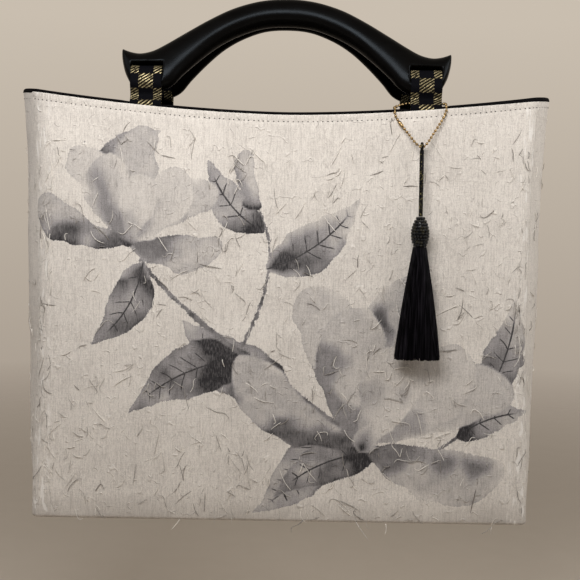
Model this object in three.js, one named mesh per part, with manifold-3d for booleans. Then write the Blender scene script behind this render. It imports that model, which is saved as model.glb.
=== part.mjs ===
// Handbag sewn from obi cloth, hung by its two wooden handles, with a tassel charm on a ball chain.
// Millimetres, +Z up, the front faces -Y.
// The origin is where a hook bears: under the crowns of the two handles, midway between them.
import * as THREE from "three";
import { mergeVertices } from "three/addons/utils/BufferGeometryUtils.js";
import Module from "manifold-3d";

const wasm = await Module();
wasm.setup();

const GAP = 0.3; // clearance between pieces that touch

// Bag body
const BASE_Z = -361.4; // underside of the base
const RIM_Z = -66.2; // edge of the cloth at the middle of the front
const RIM_RISE = 15.6; // the ends of the mouth stand this much higher than its middle
const RIM_RISE_POWER = 1.7;
const MOUTH_HALF_WIDTH = 195;
const CLOTH = 2; // obi cloth with its interfacing
const SEAM_GAP = 0.4; // between two panels, along the seam
const BASE_ROUND = 2.6; // the walls turn under the base with this radius
const BASE_INSET = BASE_ROUND + 1.4; // edge of the base panel, in from the walls
const LINING = 1;
const LINING_EDGE = 1.8; // the lining stands this far above the cloth round the mouth

// Horizontal sections of the body, from above the turned edge of the base to the mouth.
// height: above the base; halfWidth and halfDepth: to the upright corners; corner: radius of these;
// bulge: how far the side gusset swells out; belly: how far the front and back swell out.
const SECTIONS = [
  { height: BASE_ROUND, halfWidth: 181.7, halfDepth: 46, corner: 5, bulge: 1.5, belly: 0 },
  { height: 46, halfWidth: 181.2, halfDepth: 46.6, corner: 8, bulge: 7.5, belly: 1 },
  { height: 102, halfWidth: 179.5, halfDepth: 47, corner: 12, bulge: 12, belly: 1.6 },
  { height: 162, halfWidth: 179.3, halfDepth: 47, corner: 14, bulge: 14.4, belly: 1.6 },
  { height: 218, halfWidth: 179.6, halfDepth: 46.8, corner: 15, bulge: 14.8, belly: 1 },
  { height: 261.2, halfWidth: 180.6, halfDepth: 46.6, corner: 15, bulge: 14.8, belly: 0.3 },
  { height: 277.2, halfWidth: 181.3, halfDepth: 46.5, corner: 15, bulge: 14.8, belly: 0 },
  { height: 295.2, halfWidth: 182.9, halfDepth: 46.5, corner: 15, bulge: 15, belly: -0.6 },
];
const MOUTH = SECTIONS[SECTIONS.length - 1];
const BASE_ROUND_STEPS = 2;
const GUSSET_STEPS = 6;
const CORNER_STEPS = 3;
const LEAD_STEPS = 12;

// Handle tabs: a strap looped through each end of a handle and sewn in between cloth and lining
const TAB_X = 99.7; // middle of a tab
const TAB_WIDTH = 22.4;
const STRAP = 1.5; // thickness of the looped strap
const TAIL = 2.4; // both layers of the strap, flattened in the seam
const TAIL_DEPTH = 16; // below the edge of the cloth
const TAIL_TOP = LINING_EDGE + 0.6; // the tail leaves the seam flat up to here, above the edge of the cloth
const PINCH = 8.2; // the layers lie together this far up the leaning plane, just under the bar
const STRAP_PARTS = PINCH + 1.2; // lowest point of the opening between them
const POCKET_EASE = 1.5; // the lining clears each side of a tail by this
const POCKET_SLOPE = 4.5; // and comes back to the wall over this width

// Handles
const BAR_BOTTOM = 12.8; // the bar that a strap goes round, above the foot of the tab
const BAR_TOP = 28.2;
const BAR_THICK = 12.4;
const BAR_RADIUS = 4;
const SLOT_TOP = 31.6; // top of the slot above the bar
const SLOT_SIDE_GAP = 0.5; // beside the strap
const SECTION_POWER = 2.5; // 2 is an ellipse, more is squarer
const HANDLE_SIDES = 12;
const HANDLE_STEPS = 38;

// Half of the handle's outline in its own plane, from the crown to the tip of the horn.
// x: from the middle; v: above the foot of the tab; thick: across the plane.
const HANDLE_ROWS = [
  { upperX: 0, upperV: 87.4, lowerX: 0, lowerV: 68.4, thick: 19 },
  { upperX: 19.5, upperV: 85.4, lowerX: 17.2, lowerV: 66.8, thick: 19 },
  { upperX: 39.2, upperV: 78.9, lowerX: 33.9, lowerV: 60.5, thick: 19 },
  { upperX: 56.8, upperV: 69.1, lowerX: 48.1, lowerV: 51.7, thick: 18.5 },
  { upperX: 72.6, upperV: 58.6, lowerX: 61, lowerV: 40.2, thick: 18 },
  { upperX: 87.6, upperV: 48.4, lowerX: 73, lowerV: 27.6, thick: 17 },
  { upperX: 96.6, upperV: 43.2, lowerX: 82.8, lowerV: 16.4, thick: 16.4 },
  { upperX: 104.7, upperV: 41, lowerX: 95.7, lowerV: 11.8, thick: 16 },
  { upperX: 110.5, upperV: 41.6, lowerX: 108.5, lowerV: 15.2, thick: 15 },
  { upperX: 115.4, upperV: 43.3, lowerX: 114.8, lowerV: 24, thick: 12 },
  { upperX: 118.1, upperV: 44.9, lowerX: 117.9, lowerV: 34.2, thick: 8 },
  { upperX: 118.9, upperV: 45.6, lowerX: 118.9, lowerV: 42.6, thick: 3.5 },
];

// Charm: ball chain round the front right tab, with a tassel on it
const BALL_RADIUS = 1.05;
const BALL_PITCH = 2.8;
const CHAIN_NECK = 0.35; // radius of the wire between two balls
const CHAIN_SIDES = 8;
const CHAIN_RINGS = 4; // along each ball
const CONNECTOR_RADIUS = 1.3;
const CONNECTOR_FIRST = 7; // the sleeve stands in for these balls, counted from the tassel
const CONNECTOR_LAST = 8;
const CHAIN_LOW = new THREE.Vector3(96.2, -53.4, -87.5); // where the tassel hangs
const CHAIN_LEFT_X = 77.2; // where the chain crosses the edge of the mouth
const CHAIN_RIGHT_X = 113.2;
const CHAIN_BEHIND = 4.8; // where it passes behind the tab, up the leaning plane
const CHAIN_EASE = BALL_RADIUS + GAP;
const EYE_RADIUS = 2.5; // middle line of the cord's eye round the chain
const EYE_CORD_RADIUS = 0.9;
const CORD_RADIUS = 1.5;
const CORD_TOP_Z = -90;
const CORD_SIDES = 8;
const CORD_STEPS = 8;
const EYE_SIDES = 6;
const EYE_STEPS = 12;
const HEAD_TOP_Z = -136.5;
const HEAD_LENGTH = 21;
const HEAD_RADIUS = 6.6;
const HEAD_Y = -57;
const HEAD_RIBS = 9;
const HEAD_RIB_DEPTH = 0.45;
const HEAD_SIDES = 14;
const SKIRT_LENGTH = 80;
const SKIRT_LOCKS = 14;
const SKIRT_LOCK_DEPTH = 0.07; // of the radius, between two locks
const SKIRT_COLUMNS_PER_LOCK = 2;

// Sections of the tassel's skirt. share: of its length; halfX and halfY: half width and depth; y: of its middle.
const SKIRT_ROWS = [
  { share: 0, halfX: 4.6, halfY: 4.4, y: -57 },
  { share: 0.15, halfX: 6.6, halfY: 5.4, y: -57.2 },
  { share: 0.45, halfX: 10.6, halfY: 6.4, y: -57.6 },
  { share: 0.75, halfX: 14, halfY: 6.9, y: -58 },
  { share: 1, halfX: 16.4, halfY: 7, y: -58.2 },
];

// Materials
function finish(colour, roughness, metalness = 0) {
  return new THREE.MeshStandardMaterial({ color: colour, roughness, metalness });
}
const OBI_CLOTH = finish(0xe4ddd2, 0.85);
const BLACK_LINING = finish(0x0b0b0d, 0.7);
const BLACK_WOOD = finish(0x0d0b0a, 0.35);
const CHECK_BROCADE = finish(0x4a3f2a, 0.6);
const GOLD_METAL = finish(0xc9973f, 0.3, 1);
const BLACK_THREAD = finish(0x0c0b0e, 0.55);

// A closed body through a row of rings, each counter-clockwise about the way the row runs.
// caps: "fan" closes the two ends from their middles, "strip" closes rings that run out along one face
// of a wall and back along the other, and "loop" joins the last ring to the first.
// crossed: tells which faces split along the other diagonal, so that both skins of a wall fold alike.
function loft(rings, caps, crossed = () => false) {
  const sides = rings[0].length;
  const points = rings.flat();
  const faces = [];
  const spans = caps === "loop" ? rings.length : rings.length - 1;
  for (let i = 0; i < spans; i++) {
    const low = i * sides;
    const high = ((i + 1) % rings.length) * sides;
    for (let k = 0; k < sides; k++) {
      const next = (k + 1) % sides;
      if (crossed(i, k)) {
        faces.push(low + k, low + next, high + k, low + next, high + next, high + k);
      } else {
        faces.push(low + k, low + next, high + next, low + k, high + next, high + k);
      }
    }
  }
  const last = (rings.length - 1) * sides;
  if (caps === "fan") {
    for (const [ring, first, way] of [[rings[0], 0, -1], [rings[rings.length - 1], last, 1]]) {
      const middle = points.length;
      const sum = ring.reduce((total, p) => total.add(p), new THREE.Vector3());
      points.push(sum.divideScalar(sides));
      for (let k = 0; k < sides; k++) {
        const pair = [first + k, first + ((k + 1) % sides)];
        faces.push(middle, ...(way > 0 ? pair : pair.reverse()));
      }
    }
  }
  if (caps === "strip") {
    for (let k = 0; k < sides / 2 - 1; k++) {
      const [a, b, c, d] = [k, k + 1, sides - 2 - k, sides - 1 - k];
      faces.push(b, a, c, a, d, c);
      faces.push(last + a, last + b, last + c, last + a, last + c, last + d);
    }
  }
  const geometry = new THREE.BufferGeometry().setFromPoints(points);
  geometry.setIndex(faces);
  return geometry;
}

// Joins and cuts
function solid(geometry) {
  const bare = new THREE.BufferGeometry();
  bare.setAttribute("position", geometry.getAttribute("position"));
  bare.setIndex(geometry.getIndex());
  const merged = mergeVertices(bare, 1e-3);
  const triVerts = new Uint32Array(merged.getIndex().array);
  const vertProperties = merged.getAttribute("position").array;
  return new wasm.Manifold(new wasm.Mesh({ numProp: 3, vertProperties, triVerts }));
}

function geometryOf(manifold) {
  const { vertProperties, triVerts } = manifold.getMesh();
  const geometry = new THREE.BufferGeometry();
  geometry.setAttribute("position", new THREE.BufferAttribute(vertProperties, 3));
  geometry.setIndex(new THREE.BufferAttribute(triVerts, 1));
  return geometry;
}

function piece(name, geometry, material) {
  const mesh = new THREE.Mesh(geometry, material);
  mesh.name = name;
  return mesh;
}

// Bag body: its outer surface as rows of points, the columns running round it from the front's left end
function rimZ(x) {
  return RIM_Z + RIM_RISE * (Math.abs(x) / MOUTH_HALF_WIDTH) ** RIM_RISE_POWER;
}

// The front is flat to here on each side, and then turns the corner.
function flatOf(section) {
  return section.halfWidth - section.corner;
}

function bellyAt(section, x) {
  return section.belly * (1 - (x / flatOf(section)) ** 2);
}

// A section made smaller all round by one width
function shrunk(section, by) {
  const { halfWidth, halfDepth, corner } = section;
  return { ...section, halfWidth: halfWidth - by, halfDepth: halfDepth - by, corner: Math.max(corner - by, 1) };
}

// Foot of the tabs: middle of a tail, at the edge of the cloth
const FOOT_Z = rimZ(TAB_X);
const FOOT_Y = -MOUTH.halfDepth - bellyAt(MOUTH, TAB_X) + CLOTH + GAP + TAIL / 2;

// The front's columns stand closer at the tabs, where the lining makes room for a tail.
function frontStations() {
  const half = TAB_WIDTH / 2 + POCKET_EASE;
  const edges = [-half - POCKET_SLOPE, -half, half, half + POCKET_SLOPE];
  const right = [44, ...edges.map((edge) => TAB_X + edge), 146, flatOf(MOUTH)];
  return [...right.map((x) => -x).reverse(), 0, ...right];
}
const FRONT_STATIONS = frontStations();
const FRONT_COLUMNS = FRONT_STATIONS.length;

// The angle from the X axis at which a corner's arc runs on smoothly into the curve of the gusset
function leadAngle({ halfDepth, corner, bulge }) {
  let lead = 0;
  for (let k = 0; k < LEAD_STEPS; k++) {
    lead = Math.atan2(2 * bulge, halfDepth - corner * (1 - Math.sin(lead)));
  }
  return lead;
}

// Half of a section's plan, along the front and round the right gusset, which the other half repeats.
function halfPlan(section) {
  const { halfDepth, corner: radius, bulge } = section;
  const stretch = flatOf(section) / flatOf(MOUTH);
  const points = FRONT_STATIONS.map((station) => {
    const x = station * stretch;
    return new THREE.Vector2(x, -halfDepth - bellyAt(section, x));
  });
  const middle = new THREE.Vector2(flatOf(section), -halfDepth + radius);
  const lead = leadAngle(section);
  for (let k = 1; k <= CORNER_STEPS; k++) {
    const angle = THREE.MathUtils.lerp(-Math.PI / 2, -lead, k / CORNER_STEPS);
    points.push(new THREE.Vector2(Math.cos(angle), Math.sin(angle)).multiplyScalar(radius).add(middle));
  }
  const corner = points[points.length - 1];
  for (let k = 1; k <= GUSSET_STEPS; k++) {
    const share = (2 * k) / GUSSET_STEPS - 1;
    points.push(new THREE.Vector2(corner.x + bulge * (1 - share ** 2), -corner.y * share));
  }
  for (let k = 1; k < CORNER_STEPS; k++) {
    const twin = points[FRONT_COLUMNS + CORNER_STEPS - 1 - k];
    points.push(new THREE.Vector2(twin.x, -twin.y));
  }
  return points;
}

function ringOf(section) {
  const half = halfPlan(section);
  const plan = [...half, ...half.map((p) => p.clone().negate())];
  const share = section.height / (RIM_Z - BASE_Z);
  return plan.map((p) => new THREE.Vector3(p.x, p.y, BASE_Z + share * (rimZ(p.x) - BASE_Z)));
}

function bodyRows() {
  const rows = [];
  const lowest = SECTIONS[0];
  for (let k = 0; k < BASE_ROUND_STEPS; k++) {
    const height = (BASE_ROUND * k * k) / (BASE_ROUND_STEPS * BASE_ROUND_STEPS);
    const inset = BASE_ROUND - Math.sqrt(BASE_ROUND ** 2 - (BASE_ROUND - height) ** 2);
    rows.push(ringOf({ ...shrunk(lowest, inset), height }));
  }
  return [...rows, ...SECTIONS.map(ringOf)];
}

// Outward direction at each point of the rows
function outward(rows) {
  const columns = rows[0].length;
  return rows.map((row, i) => row.map((_, j) => {
    const along = row[(j + 1) % columns].clone().sub(row[(j + columns - 1) % columns]);
    const up = rows[Math.min(i + 1, rows.length - 1)][j].clone().sub(rows[Math.max(i - 1, 0)][j]);
    return along.cross(up).normalize();
  }));
}

const BODY = bodyRows();
const BODY_OUTWARD = outward(BODY);
const BODY_COLUMNS = BODY[0].length;

// The body's surface, moved in by a depth that may differ from point to point
function bodyInside(depthAt) {
  return BODY.map((row, i) => row.map((p, j) => p.clone().addScaledVector(BODY_OUTWARD[i][j], -depthAt(p, i, j))));
}

// A panel between two seams: the columns from first to last, held back from the seam at each end
function panel(first, count) {
  const inside = bodyInside(() => CLOTH);
  const seamed = (row) => {
    const columns = Array.from({ length: count }, (_, k) => row[(first + k) % BODY_COLUMNS].clone());
    for (const [end, next] of [[0, 1], [count - 1, count - 2]]) {
      const share = SEAM_GAP / 2 / columns[end].distanceTo(columns[next]);
      columns[end].lerp(columns[next], share);
    }
    return columns;
  };
  const rings = BODY.map((row, i) => [...seamed(row), ...seamed(inside[i]).reverse()]);
  return loft(rings, "strip", (i, k) => k >= count);
}

function basePanel() {
  const outline = ringOf({ ...shrunk(SECTIONS[0], BASE_INSET), height: 0 });
  const shape = new THREE.Shape(outline.map((p) => new THREE.Vector2(p.x, p.y)));
  const plate = new THREE.ExtrudeGeometry(shape, { depth: CLOTH, bevelEnabled: false });
  return plate.translate(0, 0, BASE_Z);
}

// The lining follows the walls, and stands off at each tab to make room for its tail.
function liningDepth(p, row) {
  const besideTail = row >= BODY.length - 2;
  const atTab = Math.abs(Math.abs(p.x) - TAB_X) < TAB_WIDTH / 2 + POCKET_EASE + POCKET_SLOPE / 2;
  const behindTail = -FOOT_Y - TAIL / 2 - 2 * GAP;
  const atFloor = row === BASE_ROUND_STEPS ? GAP : 0;
  return besideTail && atTab ? Math.abs(p.y) - behindTail : CLOTH + GAP + atFloor;
}

function lining() {
  const floorZ = BASE_Z + CLOTH + GAP;
  const lifted = (rows, lowest) => rows.slice(BASE_ROUND_STEPS).map((row, i, kept) => row.map((p) => {
    const top = i === kept.length - 1 ? LINING_EDGE : 0;
    return new THREE.Vector3(p.x, p.y, i === 0 ? lowest : p.z + top);
  }));
  const outer = lifted(bodyInside(liningDepth), floorZ);
  const inner = lifted(bodyInside((p, row) => liningDepth(p, row) + LINING), floorZ + LINING);
  return loft([...outer, ...inner.reverse()], "fan", (i) => i >= outer.length);
}

// Handles and tabs. Each side of the bag has one handle and two tabs, in planes that lean to the hook.
const CROWN = HANDLE_ROWS[0];
const CROWN_V = (CROWN.upperV + CROWN.lowerV) / 2;
const CROWN_Y = -CROWN.thick / 2 - GAP; // the two crowns stand side by side on the hook
const LEAN = Math.asin((CROWN_Y - FOOT_Y) / CROWN_V);

// A point of the leaning plane: across it to the rear, and up it from the foot of the tab
function leaning(across, up) {
  return new THREE.Vector2(
    FOOT_Y + up * Math.sin(LEAN) + across * Math.cos(LEAN),
    FOOT_Z + up * Math.cos(LEAN) - across * Math.sin(LEAN),
  );
}

function handleRing(upper, lower) {
  const middle = upper.clone().add(lower).multiplyScalar(0.5).setY(0);
  const rise = upper.clone().sub(lower).setY(0).multiplyScalar(0.5);
  const round = (value) => Math.sign(value) * Math.abs(value) ** (2 / SECTION_POWER);
  return Array.from({ length: HANDLE_SIDES }, (_, k) => {
    const angle = (2 * Math.PI * (k + 0.5)) / HANDLE_SIDES;
    const point = middle.clone().addScaledVector(rise, round(Math.sin(angle)));
    return point.setY(round(Math.cos(angle)) * upper.y);
  });
}

// The bar's section, made larger by a margin all round, in the handle's plane
function barShape(margin) {
  const half = BAR_THICK / 2 + margin;
  const radius = BAR_RADIUS + margin;
  const shape = new THREE.Shape();
  shape.absarc(half - radius, BAR_BOTTOM - margin + radius, radius, -Math.PI / 2, 0);
  shape.absarc(half - radius, BAR_TOP + margin - radius, radius, 0, Math.PI / 2);
  shape.absarc(radius - half, BAR_TOP + margin - radius, radius, Math.PI / 2, Math.PI);
  shape.absarc(radius - half, BAR_BOTTOM - margin + radius, radius, Math.PI, 1.5 * Math.PI);
  return shape;
}

// Extrudes a shape drawn across and up, so that it runs along X about a middle
function alongX(shape, width, middleX) {
  const geometry = new THREE.ExtrudeGeometry(shape, { depth: width, bevelEnabled: false, curveSegments: 3 });
  geometry.translate(0, 0, -width / 2);
  const axes = [new THREE.Vector3(0, 1, 0), new THREE.Vector3(0, 0, 1), new THREE.Vector3(1, 0, 0)];
  geometry.applyMatrix4(new THREE.Matrix4().makeBasis(...axes));
  return geometry.translate(middleX, 0, 0);
}

function handle() {
  const mirrored = HANDLE_ROWS.slice(1).map((row) => ({ ...row, upperX: -row.upperX, lowerX: -row.lowerX }));
  const rows = [...mirrored.reverse(), ...HANDLE_ROWS];
  const upper = new THREE.CatmullRomCurve3(rows.map((r) => new THREE.Vector3(r.upperX, r.thick / 2, r.upperV)));
  const lower = new THREE.CatmullRomCurve3(rows.map((r) => new THREE.Vector3(r.lowerX, r.thick / 2, r.lowerV)));
  const rings = Array.from({ length: HANDLE_STEPS + 1 }, (_, k) =>
    handleRing(upper.getPoint(k / HANDLE_STEPS), lower.getPoint(k / HANDLE_STEPS)));
  let body = solid(loft(rings, "fan"));
  // At each end a channel for the strap leaves only the bar, and the slot above it.
  const width = TAB_WIDTH + 2 * SLOT_SIDE_GAP;
  const height = SLOT_TOP;
  for (const x of [-TAB_X, TAB_X]) {
    const channel = new THREE.BoxGeometry(width, 2 * CROWN.thick, height).translate(x, 0, height / 2);
    const bar = alongX(barShape(0), 2 * TAB_WIDTH, x);
    body = body.subtract(solid(channel).subtract(solid(bar)));
  }
  const geometry = geometryOf(body);
  return geometry.rotateX(-LEAN).translate(0, FOOT_Y, FOOT_Z);
}

// A strap looped round the bar, its two layers sewn together below as one flat tail
function tab() {
  const hollow = barShape(GAP).getPoints(3);
  const skin = barShape(GAP + STRAP).getPoints(3);
  const aboveWaist = (points) => points.filter((p) => p.y > BAR_BOTTOM);
  const tailZ = FOOT_Z - TAIL_DEPTH;
  const outline = [
    new THREE.Vector2(FOOT_Y - TAIL / 2, tailZ),
    new THREE.Vector2(FOOT_Y + TAIL / 2, tailZ),
    new THREE.Vector2(FOOT_Y + TAIL / 2, FOOT_Z + TAIL_TOP),
    leaning(TAIL / 2, PINCH),
    ...aboveWaist(skin).map((p) => leaning(p.x, p.y)),
    leaning(-TAIL / 2, PINCH),
    new THREE.Vector2(FOOT_Y - TAIL / 2, FOOT_Z + TAIL_TOP),
  ];
  const shape = new THREE.Shape(outline);
  const eye = [leaning(0, STRAP_PARTS), ...aboveWaist(hollow).map((p) => leaning(p.x, p.y))];
  shape.holes.push(new THREE.Path(eye));
  return (middleX) => alongX(shape, TAB_WIDTH, middleX);
}

function sideOfBag(sideName) {
  const turned = sideName === "back";
  const group = new THREE.Group();
  group.rotation.z = turned ? Math.PI : 0;
  group.add(piece(`handle_${sideName}`, handle(), BLACK_WOOD));
  const makeTab = tab();
  for (const x of [-TAB_X, TAB_X]) {
    const hand = x < 0 !== turned ? "left" : "right";
    group.add(piece(`tab_${sideName}_${hand}`, makeTab(x), CHECK_BROCADE));
  }
  return group;
}

// Charm
// The chain's route: down the front to the tassel, over the edge of the mouth and behind the tab.
function chainRoute() {
  const frontY = (x) => -MOUTH.halfDepth - bellyAt(MOUTH, x);
  const over = (x) => [
    new THREE.Vector3(x, frontY(x) - CHAIN_EASE, rimZ(x) - 2),
    new THREE.Vector3(x, frontY(x) - 0.4, rimZ(x) + CHAIN_EASE + 0.4),
    new THREE.Vector3(x, frontY(x) + CLOTH + LINING, rimZ(x) + LINING_EDGE + CHAIN_EASE + 0.2),
  ];
  const behind = leaning(TAIL / 2, CHAIN_BEHIND);
  const behindY = behind.x + CHAIN_EASE + 1;
  const left = over(CHAIN_LEFT_X);
  const right = over(CHAIN_RIGHT_X);
  const leftMiddle = CHAIN_LOW.clone().lerp(left[0], 0.5).add(new THREE.Vector3(-1, -0.2, -1));
  const rightMiddle = CHAIN_LOW.clone().lerp(right[0], 0.5).add(new THREE.Vector3(1, -0.2, -1));
  return [
    CHAIN_LOW,
    leftMiddle,
    ...left,
    new THREE.Vector3(TAB_X - TAB_WIDTH / 2 - 1, behindY, behind.y + 1),
    new THREE.Vector3(TAB_X, behindY, behind.y + 1),
    new THREE.Vector3(TAB_X + TAB_WIDTH / 2, behindY, behind.y + 1),
    ...right.reverse(),
    rightMiddle,
  ];
}

function chainRadius(ball, ring) {
  if (ball >= CONNECTOR_FIRST && ball <= CONNECTOR_LAST) {
    return ball === CONNECTOR_FIRST && ring === 0 ? CHAIN_NECK : CONNECTOR_RADIUS;
  }
  const fromMiddle = BALL_PITCH * (ring / CHAIN_RINGS - 0.5);
  return Math.sqrt(Math.max(BALL_RADIUS ** 2 - fromMiddle ** 2, CHAIN_NECK ** 2));
}

function circle(middle, across, along, radius, sides) {
  return Array.from({ length: sides }, (_, k) => {
    const angle = (2 * Math.PI * k) / sides;
    return middle.clone()
      .addScaledVector(across, radius * Math.cos(angle))
      .addScaledVector(along, radius * Math.sin(angle));
  });
}

function chain() {
  const route = new THREE.CatmullRomCurve3(chainRoute(), true, "centripetal");
  const balls = Math.round(route.getLength() / BALL_PITCH);
  const count = balls * CHAIN_RINGS;
  const frames = route.computeFrenetFrames(count, true);
  const rings = Array.from({ length: count }, (_, k) => circle(
    route.getPointAt(k / count),
    frames.normals[k],
    frames.binormals[k],
    chainRadius(Math.floor(k / CHAIN_RINGS), k % CHAIN_RINGS),
    CHAIN_SIDES,
  ));
  return loft(rings, "loop");
}

// A straight cord from the head up to an eye that the chain goes through
function tasselCord() {
  const foot = new THREE.Vector3(CHAIN_LOW.x, HEAD_Y, HEAD_TOP_Z + GAP);
  const top = new THREE.Vector3(CHAIN_LOW.x, CHAIN_LOW.y, CORD_TOP_Z);
  const section = new THREE.Shape();
  section.absarc(0, 0, CORD_RADIUS, 0, 2 * Math.PI);
  const cord = new THREE.ExtrudeGeometry(section, {
    steps: CORD_STEPS,
    curveSegments: CORD_SIDES,
    bevelEnabled: false,
    extrudePath: new THREE.LineCurve3(foot, top),
  });
  const eye = new THREE.TorusGeometry(EYE_RADIUS, EYE_CORD_RADIUS, EYE_SIDES, EYE_STEPS);
  eye.rotateY(Math.PI / 2).translate(CHAIN_LOW.x, CHAIN_LOW.y, CHAIN_LOW.z);
  return geometryOf(solid(cord).add(solid(eye)));
}

// An egg-shaped head, ribbed where its rows of beads lie
function tasselHead() {
  const profile = [new THREE.Vector2(0, 0)];
  const points = 2 * HEAD_RIBS;
  for (let k = 0; k <= points; k++) {
    const share = k / points;
    const egg = Math.sin(Math.PI * (0.2 + 0.7 * share)) ** 0.75;
    const rib = k % 2 === 0 ? HEAD_RIB_DEPTH : 0;
    profile.push(new THREE.Vector2(HEAD_RADIUS * egg - rib, share * HEAD_LENGTH));
  }
  profile.push(new THREE.Vector2(0, HEAD_LENGTH));
  const head = new THREE.LatheGeometry(profile, HEAD_SIDES).rotateX(Math.PI / 2);
  return head.translate(CHAIN_LOW.x, HEAD_Y, HEAD_TOP_Z - HEAD_LENGTH);
}

// The skirt's threads hang in locks side by side, joined as one body under the head.
function tasselSkirt() {
  const columns = SKIRT_LOCKS * SKIRT_COLUMNS_PER_LOCK;
  const topZ = HEAD_TOP_Z - HEAD_LENGTH - GAP;
  const rings = SKIRT_ROWS.map((row) => Array.from({ length: columns }, (_, k) => {
    const angle = (2 * Math.PI * k) / columns;
    const between = k % SKIRT_COLUMNS_PER_LOCK === 0 ? SKIRT_LOCK_DEPTH * row.share : 0;
    return new THREE.Vector3(
      CHAIN_LOW.x + row.halfX * (1 - between) * Math.cos(angle),
      row.y + row.halfY * (1 - between) * Math.sin(angle),
      topZ - SKIRT_LENGTH * row.share,
    );
  }));
  return loft(rings.reverse(), "fan");
}

// Assembly
const bag = new THREE.Group();
const cornerColumns = CORNER_STEPS; // from the end of the front to the start of a gusset
const frontEnd = FRONT_COLUMNS - 1 + cornerColumns;
const halfColumns = BODY_COLUMNS / 2;
const frontSpan = FRONT_COLUMNS + 2 * cornerColumns;
bag.add(piece("front_panel", panel(BODY_COLUMNS - cornerColumns, frontSpan), OBI_CLOTH));
bag.add(piece("gusset_right", panel(frontEnd, GUSSET_STEPS + 1), OBI_CLOTH));
bag.add(piece("back_panel", panel(halfColumns - cornerColumns, frontSpan), OBI_CLOTH));
bag.add(piece("gusset_left", panel(halfColumns + frontEnd, GUSSET_STEPS + 1), OBI_CLOTH));
bag.add(piece("base_panel", basePanel(), OBI_CLOTH));
bag.add(piece("lining", lining(), BLACK_LINING));
bag.add(sideOfBag("front"), sideOfBag("back"));

const charm = new THREE.Group();
charm.add(piece("charm_chain", chain(), GOLD_METAL));
charm.add(piece("tassel_cord", tasselCord(), BLACK_THREAD));
charm.add(piece("tassel_head", tasselHead(), BLACK_THREAD));
charm.add(piece("tassel_skirt", tasselSkirt(), BLACK_THREAD));
bag.add(charm);

export default bag;
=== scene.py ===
"""Looks of a handbag of obi cloth, with lacquered handles and a tassel charm, built round its solids.

Lengths are in millimetres until a mesh is made, and in metres in materials and on the stage.
The front faces -Y, and a hook bears at the origin.
"""
import math
from collections import namedtuple

import bpy
import numpy as np
from mathutils import Matrix, Vector


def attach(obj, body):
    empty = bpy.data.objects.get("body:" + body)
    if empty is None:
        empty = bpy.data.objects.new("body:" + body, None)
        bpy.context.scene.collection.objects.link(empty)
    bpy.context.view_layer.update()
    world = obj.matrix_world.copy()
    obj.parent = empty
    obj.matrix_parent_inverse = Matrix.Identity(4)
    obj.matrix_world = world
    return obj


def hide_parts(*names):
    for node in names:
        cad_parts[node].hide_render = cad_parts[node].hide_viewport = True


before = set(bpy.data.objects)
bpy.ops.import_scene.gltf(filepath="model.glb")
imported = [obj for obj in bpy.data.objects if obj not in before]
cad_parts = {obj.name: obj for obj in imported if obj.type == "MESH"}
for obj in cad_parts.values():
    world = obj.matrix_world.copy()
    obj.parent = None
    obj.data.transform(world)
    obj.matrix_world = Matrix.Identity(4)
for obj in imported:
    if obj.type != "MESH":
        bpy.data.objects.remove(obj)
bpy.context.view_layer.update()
MM = 0.001


def table(name, columns, rows):
    """A short table whose columns have names."""
    kind = namedtuple(name, columns)
    return [kind(*row) for row in rows]


# Sizes that the solids have
GAP = 0.3
BASE_Z = -361.4
RIM_Z = -66.2
RIM_RISE = 15.6
RIM_RISE_POWER = 1.7
MOUTH_HALF_WIDTH = 195
CLOTH = 2
BASE_ROUND = 2.6
LINING = 1
LINING_EDGE = 1.8
SECTIONS = table("Section", "height half_width half_depth corner bulge belly", [
    (BASE_ROUND, 181.7, 46, 5, 1.5, 0),
    (46, 181.2, 46.6, 8, 7.5, 1),
    (102, 179.5, 47, 12, 12, 1.6),
    (162, 179.3, 47, 14, 14.4, 1.6),
    (218, 179.6, 46.8, 15, 14.8, 1),
    (261.2, 180.6, 46.6, 15, 14.8, 0.3),
    (277.2, 181.3, 46.5, 15, 14.8, 0),
    (295.2, 182.9, 46.5, 15, 15, -0.6),
])
MOUTH = SECTIONS[-1]
TOP = MOUTH.height

TAB_X = 99.7
TAB_WIDTH = 22.4
STRAP = 1.5
TAIL = 2.4
TAIL_DEPTH = 16
TAIL_TOP = LINING_EDGE + 0.6
PINCH = 8.2
POCKET_EASE = 1.5
POCKET_SLOPE = 4.5

BAR_BOTTOM = 12.8
BAR_TOP = 28.2
BAR_THICK = 12.4
BAR_RADIUS = 4
SLOT_TOP = 31.6
SLOT_SIDE_GAP = 0.5
SECTION_POWER = 2.5
HANDLE_ROWS = table("HandleRow", "upper_x upper_v lower_x lower_v thick", [
    (0, 87.4, 0, 68.4, 19),
    (19.5, 85.4, 17.2, 66.8, 19),
    (39.2, 78.9, 33.9, 60.5, 19),
    (56.8, 69.1, 48.1, 51.7, 18.5),
    (72.6, 58.6, 61, 40.2, 18),
    (87.6, 48.4, 73, 27.6, 17),
    (96.6, 43.2, 82.8, 16.4, 16.4),
    (104.7, 41, 95.7, 11.8, 16),
    (110.5, 41.6, 108.5, 15.2, 15),
    (115.4, 43.3, 114.8, 24, 12),
    (118.1, 44.9, 117.9, 34.2, 8),
    (118.9, 45.6, 118.9, 42.6, 3.5),
])

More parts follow.
